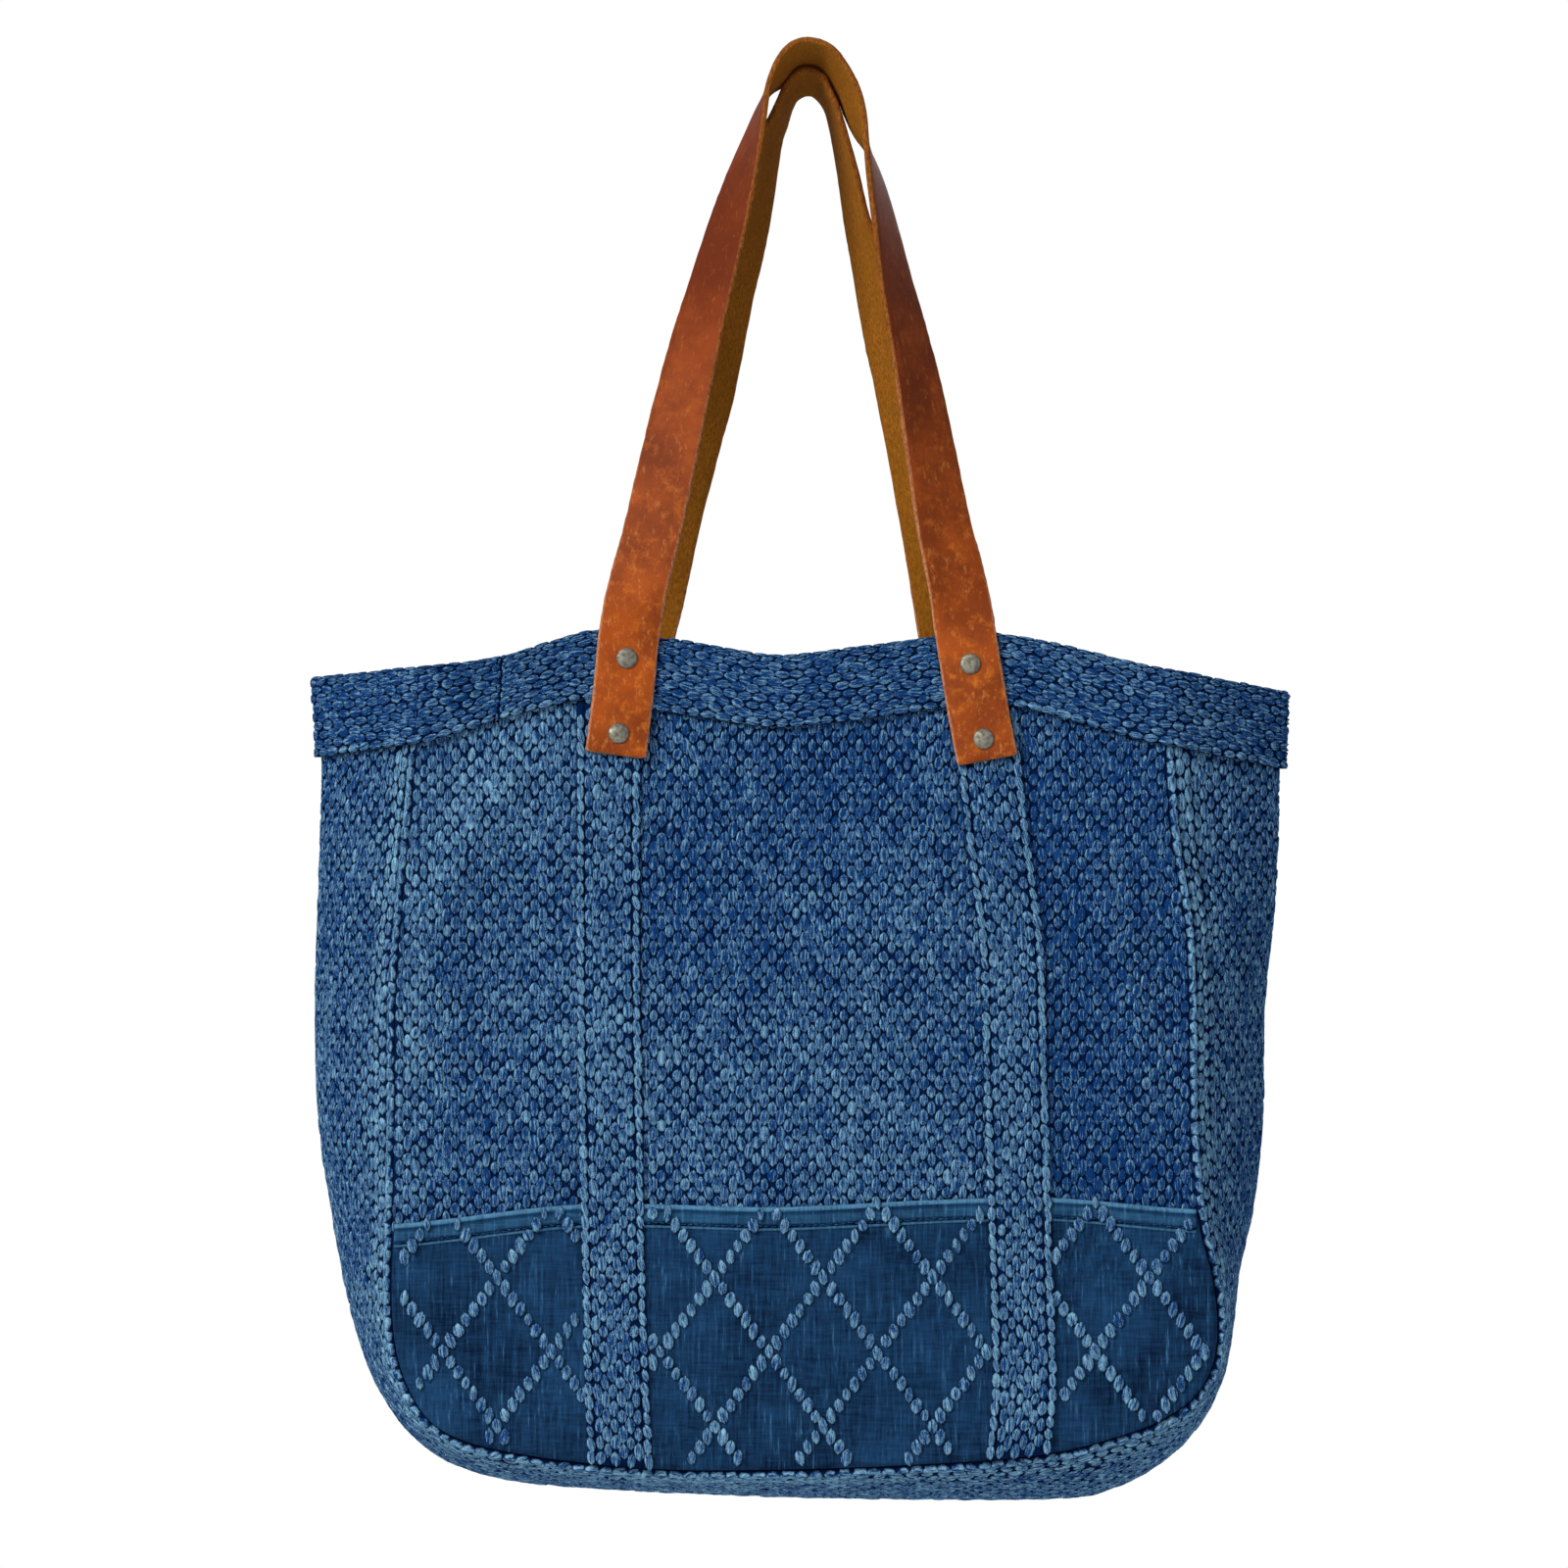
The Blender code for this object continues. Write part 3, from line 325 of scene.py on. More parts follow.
def makeSheet(points, outwardFrom):
    # a sheet is a grid of points with normals that face away from a point, and its two lengths
    normals = gridNormals(points)
    turn = np.sign(((points - outwardFrom) * normals).sum(axis=-1).mean())
    long = np.linalg.norm(np.diff(points, axis=0), axis=-1).sum(axis=0).mean()
    wide = np.linalg.norm(np.diff(points, axis=1), axis=-1).sum(axis=1).mean()
    return {"points": points, "normals": turn * normals, "long": long, "wide": wide}


def onSheet(sheet, along, across, lift):
    # bilinear reading of a sheet at lengths along and across it in metres, moved lift off it
    rows, columns = sheet["points"].shape[:2]
    a = np.clip(along / sheet["long"], 0.0, 1.0) * (rows - 1)
    b = np.clip(across / sheet["wide"], 0.0, 1.0) * (columns - 1)
    i, j = np.minimum(a.astype(int), rows - 2), np.minimum(b.astype(int), columns - 2)
    a, b = (a - i)[..., None], (b - j)[..., None]
    found = []
    for grid in (sheet["points"], sheet["normals"]):
        found.append((grid[i, j] * (1 - b) + grid[i, j + 1] * b) * (1 - a)
                     + (grid[i + 1, j] * (1 - b) + grid[i + 1, j + 1] * b) * a)
    normal = found[1] / np.linalg.norm(found[1], axis=-1, keepdims=True)
    return found[0] + normal * np.asarray(lift)[..., None]


# Materials

def toLinear(hexColour):
    parts = [int(hexColour[k:k + 2], 16) / 255 for k in (1, 3, 5)]
    return [*(v / 12.92 if v <= 0.04045 else ((v + 0.055) / 1.055) ** 2.4 for v in parts), 1.0]


def addNode(tree, kind, settings=None, **links):
    # one node; settings go to its properties or sockets, links name the sockets that feed it
    node = tree.nodes.new("ShaderNode" + kind)
    for key, value in (settings or {}).items():
        if isinstance(key, str) and hasattr(node, key):
            setattr(node, key, value)
        else:
            node.inputs[key].default_value = value
    for key, source in links.items():
        socket = int(key[2:]) if key.startswith("in") and key[2:].isdigit() else key.replace("_", " ")
        tree.links.new(source, node.inputs[socket])
    return node


def newMaterial(name, roughness, metallic=0.0, specular=0.5):
    material = bpy.data.materials.new(name)
    material.use_nodes = True
    tree = material.node_tree
    shader = tree.nodes["Principled BSDF"]
    shader.inputs["Roughness"].default_value = roughness
    shader.inputs["Metallic"].default_value = metallic
    shader.inputs["Specular IOR Level"].default_value = specular
    return material, tree, shader


def mixColours(tree, share, first, second):
    node = addNode(tree, "Mix", {"data_type": "RGBA"})
    for socket, source in ((0, share), (6, first), (7, second)):
        if isinstance(source, (float, int)):
            node.inputs[socket].default_value = source
        elif isinstance(source, str):
            node.inputs[socket].default_value = toLinear(source)
        else:
            tree.links.new(source, node.inputs[socket])
    return node.outputs[2]


def rangeOf(tree, value, low, high, to0=0.0, to1=1.0):
    node = addNode(tree, "MapRange", {"From Min": low, "From Max": high, "To Min": to0, "To Max": to1},
                   Value=value)
    return node.outputs["Result"]


def riceWeaveMaterial(name, colours):
    # Heavy sashiko cotton: each grain is a bundle of soft-twisted indigo yarn that floats over the
    # ground cloth. Wear takes the dye off the crowns; low on each grain the colour is partly dye that
    # stays dark and partly painted shade between the grains.
    material, tree, shader = newMaterial(name, 1.0, specular=0.03)
    place = addNode(tree, "TexCoord").outputs["Object"]
    grain = addNode(tree, "Attribute", {"attribute_name": "grain"}).outputs["Vector"]
    tone = addNode(tree, "Attribute", {"attribute_name": "tone"}).outputs["Fac"]
    split = addNode(tree, "SeparateXYZ", Vector=grain)
    across, along, lift = split.outputs
    fray = addNode(tree, "TexNoise", {"Scale": 1400.0, "Detail": 3.0}, Vector=place).outputs["Fac"]
    patches = addNode(tree, "TexNoise", {"Scale": 11.0, "Detail": 3.0}, Vector=place).outputs["Fac"]
    # Strands run along each grain, laid differently in every one
    own = addNode(tree, "Math", {"operation": "MULTIPLY", 1: 37.0}, in0=tone).outputs[0]
    flow = addNode(tree, "Math", {"operation": "MULTIPLY", 1: 0.24}, in0=along).outputs[0]
    spot = addNode(tree, "CombineXYZ", X=across, Y=flow, Z=own).outputs[0]
    strands = addNode(tree, "TexNoise", {"Scale": 3.4, "Detail": 3.0, "Roughness": 0.6},
                      Vector=spot).outputs["Fac"]
    # A pale ring round each grain's shoulder, broken up by fray noise: partly rubbed yarn, partly painted
    # highlight
    rubAndRimHighlight = addNode(tree, "Math", {"operation": "MULTIPLY"}, in0=rangeOf(tree, lift, 0.35, 0.80),
                  in1=rangeOf(tree, lift, 1.0, 0.83)).outputs[0]
    rubAndRimHighlight = addNode(tree, "Math", {"operation": "MULTIPLY"}, in0=rubAndRimHighlight,
                  in1=rangeOf(tree, fray, 0.36, 0.62)).outputs[0]
    # Paleness of the crown: strands, the grain's tone (painted light and shade on the panels among it),
    # fray, patches and the painted highlight ring
    wearAndHighlight = addNode(tree, "Math", {"operation": "MULTIPLY_ADD", 1: 4.6}, in0=strands, in2=tone).outputs[0]
    wearAndHighlight = addNode(tree, "Math", {"operation": "MULTIPLY_ADD", 1: 0.35}, in0=fray, in2=wearAndHighlight).outputs[0]
    wearAndHighlight = addNode(tree, "Math", {"operation": "MULTIPLY_ADD", 1: 0.50}, in0=patches, in2=wearAndHighlight).outputs[0]
    wearAndHighlight = addNode(tree, "Math", {"operation": "MULTIPLY_ADD", 1: 0.75}, in0=rubAndRimHighlight, in2=wearAndHighlight).outputs[0]
    crown = mixColours(tree, rangeOf(tree, wearAndHighlight, 2.84, 4.54), colours["mid"], colours["wearAndHighlight"])
    # Painted shade: towards each grain's foot the colour falls to the deep colour, partly dye that stays
    # dark there
    body = mixColours(tree, rangeOf(tree, lift, 0.20, 0.64), colours["deepDyeAndShade"], crown)
    tree.links.new(body, shader.inputs["Base Color"])
    height = addNode(tree, "Math", {"operation": "MULTIPLY_ADD", 1: 2.0},
                     in0=strands, in2=fray).outputs[0]
    bump = addNode(tree, "Bump", {"Strength": 0.9, "Distance": 0.00050}, Height=height)
    tree.links.new(bump.outputs[0], shader.inputs["Normal"])
    return material


def groundMaterial(name, dark, light, threadMm=0.8):
    # The plain ground cloth under the grains: dark indigo, with the crossing threads as a bump
    material, tree, shader = newMaterial(name, 0.95, specular=0.04)
    place = addNode(tree, "TexCoord").outputs["Object"]
    split = addNode(tree, "SeparateXYZ", Vector=place)
    count = 2 * math.pi / (threadMm * 0.001)
    lines = [addNode(tree, "Math", {"operation": "SINE"}, in0=addNode(
        tree, "Math", {"operation": "MULTIPLY", 1: count}, in0=split.outputs[k]).outputs[0]).outputs[0]
        for k in (0, 2)]
    cross = addNode(tree, "Math", {"operation": "MULTIPLY"}, in0=lines[0], in1=lines[1]).outputs[0]
    cloud = addNode(tree, "TexNoise", {"Scale": 260.0, "Detail": 4.0}, Vector=place).outputs["Fac"]
    share = addNode(tree, "Math", {"operation": "MULTIPLY_ADD", 1: 0.25}, in0=cross, in2=cloud).outputs[0]
    colour = mixColours(tree, rangeOf(tree, share, 0.3, 0.9), dark, light)
    tree.links.new(colour, shader.inputs["Base Color"])
    bump = addNode(tree, "Bump", {"Strength": 0.4, "Distance": 0.0003}, Height=share)
    tree.links.new(bump.outputs[0], shader.inputs["Normal"])
    return material


def plainWeaveMaterial(name, dark, light, slub):
    # Fine indigo plain weave: even weft, slubby warp that runs up and down and wears to pale streaks
    material, tree, shader = newMaterial(name, 1.0, specular=0.03)
    place = addNode(tree, "TexCoord").outputs["Object"]
    upright = addNode(tree, "Mapping", {"Scale": (1.0, 1.0, 0.06)}, Vector=place).outputs[0]
    level = addNode(tree, "Mapping", {"Scale": (0.08, 1.0, 1.0)}, Vector=place).outputs[0]
    slubs = addNode(tree, "TexNoise", {"Scale": 760.0, "Detail": 4.0, "Roughness": 0.7}, Vector=upright)
    weft = addNode(tree, "TexNoise", {"Scale": 820.0, "Detail": 3.0}, Vector=level)
    clouds = addNode(tree, "TexNoise", {"Scale": 26.0, "Detail": 5.0, "Roughness": 0.65}, Vector=place)
    yarn = addNode(tree, "Math", {"operation": "MULTIPLY_ADD", 1: 0.5},
                   in0=weft.outputs["Fac"], in2=slubs.outputs["Fac"]).outputs[0]
    share = addNode(tree, "Math", {"operation": "MULTIPLY_ADD", 1: 0.9},
                    in0=clouds.outputs["Fac"], in2=yarn).outputs[0]
    ground = mixColours(tree, rangeOf(tree, share, 0.95, 1.45), dark, light)
    streak = rangeOf(tree, slubs.outputs["Fac"], 0.60, 0.78)
    ground = mixColours(tree, streak, ground, slub)
    # Folded edges have lost their dye: the attribute is 1 there; at -1, in a stitched groove, it paints
    # shade
    hemWearAndGrooveShade = addNode(tree, "Attribute", {"attribute_name": "hemWearAndGrooveShade"}).outputs["Fac"]
    rubbed = addNode(tree, "Math", {"operation": "MULTIPLY"}, in0=hemWearAndGrooveShade,
                     in1=rangeOf(tree, yarn, 0.55, 0.85, 0.35, 1.0)).outputs[0]
    ground = mixColours(tree, rangeOf(tree, rubbed, 0.0, 1.0), ground, slub)
    # Painted shade: near-black in the stitched grooves of the hem
    ground = mixColours(tree, rangeOf(tree, hemWearAndGrooveShade, 0.0, -1.0, 0.0, 0.8), ground, "#030f22")
    tree.links.new(ground, shader.inputs["Base Color"])
    bump = addNode(tree, "Bump", {"Strength": 0.8, "Distance": 0.0003}, Height=yarn)
    tree.links.new(bump.outputs[0], shader.inputs["Normal"])
    return material


def leatherMaterial():
    # Vegetable-tanned cowhide: waxed grain side gone red-brown and orange with handling, cracked and
    # scuffed, a raw brushed-fibre back, and a cut edge that shows the pale fibre between both
    material, tree, shader = newMaterial("vegetableTannedLeather", 0.5, specular=0.08)
    place = addNode(tree, "TexCoord").outputs["Object"]
    side = addNode(tree, "Attribute", {"attribute_name": "side"}).outputs["Fac"]
    rim = addNode(tree, "Attribute", {"attribute_name": "rim"}).outputs["Fac"]
    run = addNode(tree, "Attribute", {"attribute_name": "run"}).outputs["Fac"]
    stain = addNode(tree, "TexNoise", {"Scale": 26.0, "Detail": 6.0, "Roughness": 0.62}, Vector=place)
    pores = addNode(tree, "TexNoise", {"Scale": 900.0, "Detail": 3.0}, Vector=place).outputs["Fac"]
    long = addNode(tree, "Mapping", {"Scale": (1.0, 1.0, 0.35)}, Vector=place).outputs[0]
    scuffs = addNode(tree, "TexNoise", {"Scale": 420.0, "Detail": 6.0, "Roughness": 0.75}, Vector=long)
    ends = addNode(tree, "Math", {"operation": "MULTIPLY_ADD", 1: 0.6},
                   in0=stain.outputs["Fac"], in2=run).outputs[0]
    tan = mixColours(tree, rangeOf(tree, ends, 0.35, 0.95), "#692a0a", "#954414")
    tan = mixColours(tree, rangeOf(tree, stain.outputs["Fac"], 0.62, 0.42, 0.0, 0.55), tan, "#4c1b08")
    # Near the ends the finish has rubbed through to orange, and fine pale scratches cross it
    bare = addNode(tree, "TexNoise", {"Scale": 150.0, "Detail": 8.0, "Roughness": 0.72}, Vector=place)
    bare = addNode(tree, "Math", {"operation": "MULTIPLY"},
                   in0=rangeOf(tree, bare.outputs["Fac"], 0.52, 0.66), in1=run).outputs[0]
    tan = mixColours(tree, rangeOf(tree, bare, 0.0, 1.0, 0.0, 0.55), tan, "#c8701e")
    scratched = addNode(tree, "Math", {"operation": "MULTIPLY"},
                        in0=rangeOf(tree, run, 0.0, 1.0, 0.15, 0.6),
                        in1=rangeOf(tree, scuffs.outputs["Fac"], 0.56, 0.70)).outputs[0]
    tan = mixColours(tree, scratched, tan, "#d08a4a")
    fibre = addNode(tree, "TexNoise", {"Scale": 1100.0, "Detail": 5.0, "Roughness": 0.8}, Vector=long)
    suede = mixColours(tree, rangeOf(tree, fibre.outputs["Fac"], 0.32, 0.72), "#57300a", "#a5691c")
    suede = mixColours(tree, rangeOf(tree, stain.outputs["Fac"], 0.35, 0.7, 0.0, 0.5), suede, "#6a4208")
    faces = mixColours(tree, side, suede, tan)
    # The cut edge is dark and furry where hands hold it, pale and waxed near the ends
    worked = mixColours(tree, rangeOf(tree, fibre.outputs["Fac"], 0.4, 0.7), "#5c300e", "#9a5f24")
    clean = mixColours(tree, rangeOf(tree, fibre.outputs["Fac"], 0.4, 0.7), "#86482a", "#cf9a78")
    raw = mixColours(tree, rangeOf(tree, run, 0.1, 0.7), worked, clean)
    tree.links.new(mixColours(tree, rim, faces, raw), shader.inputs["Base Color"])
    gloss = rangeOf(tree, side, 0.0, 1.0, 0.95, 0.46)
    gloss = addNode(tree, "Math", {"operation": "MULTIPLY_ADD", 1: 0.22}, in0=pores, in2=gloss).outputs[0]
    tree.links.new(gloss, shader.inputs["Roughness"])
    rough = mixColours(tree, side, fibre.outputs["Fac"], pores)
    bump = addNode(tree, "Bump", {"Strength": 0.5, "Distance": 0.00025}, Height=rough)
    scar = addNode(tree, "Bump", {"Strength": 0.35, "Distance": 0.0004}, Height=scuffs.outputs["Fac"],
                   Normal=bump.outputs[0])
    tree.links.new(scar.outputs[0], shader.inputs["Normal"])
    return material


def rivetMaterial():
    # Antique-plated brass, tumbled: dull grey-olive, brighter where it rubs, brown in the pits
    material, tree, shader = newMaterial("antiqueBrass", 0.55, metallic=1.0)
    place = addNode(tree, "TexCoord").outputs["Object"]
    spots = addNode(tree, "TexNoise", {"Scale": 520.0, "Detail": 4.0}, Vector=place).outputs["Fac"]
    colour = mixColours(tree, rangeOf(tree, spots, 0.38, 0.62), "#6c695e", "#8f8c80")
    tree.links.new(colour, shader.inputs["Base Color"])
    tree.links.new(rangeOf(tree, spots, 0.35, 0.65, 0.72, 0.56), shader.inputs["Roughness"])
    bump = addNode(tree, "Bump", {"Strength": 0.12, "Distance": 0.0002}, Height=spots)
    tree.links.new(bump.outputs[0], shader.inputs["Normal"])
    return material


# the first colour is for the grains' low sides, dye and painted shade; the last is the pale of worn yarn
# and of the painted highlight ring
riceWeave = riceWeaveMaterial("indigoRiceWeave", {"deepDyeAndShade": "#000a29", "mid": "#0a3063", "wearAndHighlight": "#84b6d1"})
ground = groundMaterial("indigoGround", "#00102e", "#041f4c")
lining = groundMaterial("indigoWrongSide", "#0f2a50", "#2a5686", threadMm=2.6)
pocketCloth = plainWeaveMaterial("indigoPlainWeave", "#07172e", "#1a3d61", "#3f6b90")
hemCloth = plainWeaveMaterial("indigoPlainWeaveHem", "#0b2340", "#204a6e", "#4d7c9e")
leather = leatherMaterial()
brass = rivetMaterial()
print("stage: materials made")

# Grains: small oval pillows laid on a surface, the floats of the weave

grainShape = {
    "outline": ((1.0, 0.0), (0.80, 0.58), (0.0, 1.0)),      # a quarter of it, pointed at the tips
    "rings": ((1.00, -0.30), (0.97, 0.42), (0.74, 0.88)),   # size and height from the foot up
}
weave = {
    "column": 0.00390,        # from one column of grains to the next
    "pitch": 0.00828,         # from grain to grain in a column; neighbours are shifted by half
    "wide": 1.30,             # a grain's width and length as shares of these
    "long": 1.02,
    "height": 0.0014,
    "sink": 0.0005,           # the ground lies this far under the cloth's nominal face
    "wander": 0.12,           # how much a grain's size and place vary
}


def grainTemplate():
    # the outline's quarter turned into all four, in rings closed by a top and a bottom point
    side, shoulder, tip = grainShape["outline"]
    quarter = [side, shoulder, tip, (-shoulder[0], shoulder[1])]
    u, v = np.array(quarter + [(-x, -y) for x, y in quarter]).T
    points = [np.stack((u * size, v * size, np.full(len(u), height)), axis=1)
              for size, height in grainShape["rings"]]
    points += [np.array(((0, 0, 1.0),)), np.array(((0, 0, -0.35),))]
    around, rings = len(u), len(grainShape["rings"])
    k = np.arange(around)
    after = (k + 1) % around
    faces = []
    for ring in range(rings - 1):
        a, b = ring * around, (ring + 1) * around
        faces += [np.stack((a + k, a + after, b + after), axis=1),
                  np.stack((a + k, b + after, b + k), axis=1)]
    top, bottom = rings * around, rings * around + 1
    last = (rings - 1) * around
    faces += [np.stack((last + k, last + after, np.full(around, top)), axis=1),
              np.stack((after, k, np.full(around, bottom)), axis=1)]
    return np.concatenate(points), np.concatenate(faces)


def layGrains(name, place, centres, sizes, material, tones, angles=None, flip=False, seed=1):
    # every grain's points are read from the surface itself: place(across, along, lift)
    template, faces = grainTemplate()
    rng = np.random.default_rng(seed)
    count = len(centres)
    wander = 1.0 + weave["wander"] * rng.standard_normal((count, 3))
    half = 0.5 * sizes[:, :2] * np.clip(wander[:, :2], 0.8, 1.15)
    height = sizes[:, 2] * np.clip(wander[:, 2], 0.75, 1.25)
    angle = 0.08 * rng.standard_normal(count) + (0.0 if angles is None else angles)
    u, v = template[:, 0] * half[:, :1], template[:, 1] * half[:, 1:]
    cos, sin = np.cos(angle)[:, None], np.sin(angle)[:, None]
    across = centres[:, :1] + u * cos - v * sin + 0.00012 * rng.standard_normal((count, 1))
    along = centres[:, 1:2] + u * sin + v * cos + 0.00020 * rng.standard_normal((count, 1))
    lift = centres[:, 2:3] + template[:, 2] * height[:, None]
    points = place(across, along, lift)
    every = (faces[None] + np.arange(count)[:, None, None] * len(template)).reshape(-1, 3)
    if flip:
        every = every[:, ::-1]
    mark = np.broadcast_to(template, (count, len(template), 3)).reshape(-1, 3)
    tone = np.repeat(tones + 0.08 * rng.standard_normal(count), len(template))
    return makeMesh(name, points, every, material, {"grain": mark, "tone": tone})


def clipped(middle, size, low, high):
    # the part of each span that lies between low and high, as its middle and size
    start, end = np.maximum(middle - 0.5 * size, low), np.minimum(middle + 0.5 * size, high)
    return 0.5 * (start + end), end - start


def honeycomb(x0, x1, y0, y1, column, pitch):
    # columns of grains between two corners, every other column shifted by half a pitch
    columns = np.arange(math.ceil((x1 - x0) / column))
    rows = np.arange(math.ceil((y1 - y0) / pitch) + 1)
    x = x0 + (columns[:, None] + 0.5) * column + 0 * rows
    y = y0 + (rows + 0.5 * (columns[:, None] % 2)) * pitch
    return np.stack((x.ravel(), y.ravel()), axis=1)


# Front and back panels

panel = {
    "inset": 0.0004,          # grains stop this far inside the seams
    "tone": 0.12,
    "least": 0.35,            # a grain cut shorter than this share is left out
    "cut": (0.410, 0.420),    # the cloth's flat width and length, and its area in square metres
    "area": 0.158,
}


def panelGrid(side, rows, columns):
    # patch between mouth, base seam and side seams: blend of opposite edges minus blend of corners
    last = len(edgeRows) - 1
    left = np.stack(edgeCurve(np.linspace(0, bag["leftCorner"], rows))[:2], axis=1)
    right = np.stack(edgeCurve(np.linspace(last, bag["rightCorner"], rows))[:2], axis=1)
    base = np.stack(edgeCurve(np.linspace(bag["leftCorner"], bag["rightCorner"], columns))[:2], axis=1)
    topX = np.linspace(left[0, 0], right[0, 0], columns)
    top = np.stack((topX, mouthZ(topX)), axis=1)
    left[0], right[0] = top[0], top[-1]
    s, t = np.linspace(0, 1, columns)[None, :, None], np.linspace(0, 1, rows)[:, None, None]
    flat = (1 - s) * left[:, None] + s * right[:, None] + (1 - t) * top[None] + t * base[None]
    flat = flat - (1 - t) * ((1 - s) * top[0] + s * top[-1]) - t * ((1 - s) * base[0] + s * base[-1])
    outer = onPanel(flat[..., 0], flat[..., 1], -weave["sink"], side)
    inner = onPanel(flat[..., 0], flat[..., 1], -bag["cloth"], side)
    return outer, inner


def makePanel(word, side):
    outer, inner = panelGrid(side, 76, 72)
    cloth = wallMesh(word + "_panel_cloth", outer, inner, ground, flip=side == backSide, inside=lining)
    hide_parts(word + "_panel")
    halfWidth = bag["halfWidth"]
    centres = honeycomb(-halfWidth, halfWidth, zOf(1.02), zOf(0.0), weave["column"], weave["pitch"])
    x, z = centres.T
    inset, least = panel["inset"], panel["least"]
    wide, long = weave["column"] * weave["wide"], weave["pitch"] * weave["long"]
    x, width = clipped(x, wide, sideSeamX(z, False) + inset, sideSeamX(z, True) - inset)
    z, length = clipped(z, long, baseSeamZ(x) + inset, mouthZ(x) - bandDepth(x) + 0.003)
    keep = (width > least * wide) & (length > least * long)
    if side == frontSide:
        keep &= z > hemZ(x) - 0.002
    for column in (1, 2):
        keep &= np.abs(x - stripX(z, column)) > 0.5 * bag["stripWidth"] - 0.0025
    x, z, width, length = (values[keep] for values in (x, z, width, length))
    sizes = np.stack((width, length, np.full(len(x), weave["height"])), axis=1)
    centres = np.stack((x, z, np.full(len(x), -weave["sink"])), axis=1)
    # each panel grain's tone carries the worn lines, painted light along folds and painted shade
    tones = panel["tone"] + wearLightAndShade(x, z)
    grains = layGrains(word + "_panel_grains", lambda a, b, lift: onPanel(a, b, lift, side),
                       centres, sizes, riceWeave, tones, flip=side == backSide,
                       seed=3 if side == frontSide else 4)
    print("stage:", word, "panel,", len(x), "grains")


makePanel("front", frontSide)
makePanel("back", backSide)

# Gusset with its raised, topstitched margins

gusset = {"margin": 0.0125, "rows": 220, "tone": 0.12, "marginTone": 0.36, "fade": 0.014}
# Height of the cloth at distances from the seam: rolled bead, stitched groove, flat margin, ditch
marginRows = np.array((
    (0.0000, -0.0004), (0.0003, 0.0008), (0.0008, 0.0018), (0.0016, 0.0022), (0.0026, 0.0018),
    (0.0033, 0.0005), (0.0038, 0.0003), (0.0045, 0.0011), (0.0068, 0.0013), (0.0112, 0.0011),
    (0.0118, 0.0004), (0.0123, -0.0002), (0.0128, 0.0002), (0.0138, 0.0000)))
# Columns of grains on a margin: distance from the seam, width, pitch, tone above the margin's
marginColumns = (
    (0.0016, 0.0040, 0.0070, 0.10), (0.0060, 0.0048, 0.0080, 0.20), (0.0099, 0.0046, 0.0080, 0.20))


def gussetSheet():
    last = len(edgeRows) - 1
    fine = np.linspace(0, last, 900)
    seamX, seamZ, foldX, foldZ, bow = edgeCurve(fine)
    for end in (0, -1):
        seamZ[end], foldZ[end] = mouthZ(seamX[end]), mouthZ(foldX[end])
    middle = np.stack((0.5 * (seamX + foldX), 0.5 * (seamZ + foldZ)), axis=1)
    length = np.concatenate(((0.0,), np.cumsum(np.linalg.norm(np.diff(middle, axis=0), axis=1))))
    at = np.interp(np.linspace(0, length[-1], 480), length, np.arange(len(fine)))
    each = [np.interp(at, np.arange(len(fine)), value)[:, None]
            for value in (seamX, seamZ, foldX, foldZ, bow)]
    profile = gussetPoint(*each, np.linspace(-1, 1, 161)[None, :])
    steps = np.linalg.norm(np.diff(profile, axis=1), axis=-1)
    share = np.concatenate((np.zeros((len(steps), 1)), np.cumsum(steps, axis=1)), axis=1)
    share /= share[:, -1:]
    even = np.linspace(0, 1, 131)
    points = np.array([[np.interp(even, share[k], profile[k, :, axis]) for axis in range(3)]
                       for k in range(len(profile))]).transpose(0, 2, 1)
    return makeSheet(points, np.array((0.0, 0.0, zOf(0.4))))


sideStrip = gussetSheet()


def marginLift(fromEdge, under):
    # the margin's profile; it lies flat where the band covers it
    return under * np.interp(fromEdge, marginRows[:, 0], marginRows[:, 1])


def belowBand(points):
    return mouthZ(points[..., 0]) - bandDepth(points[..., 0]) - points[..., 2]


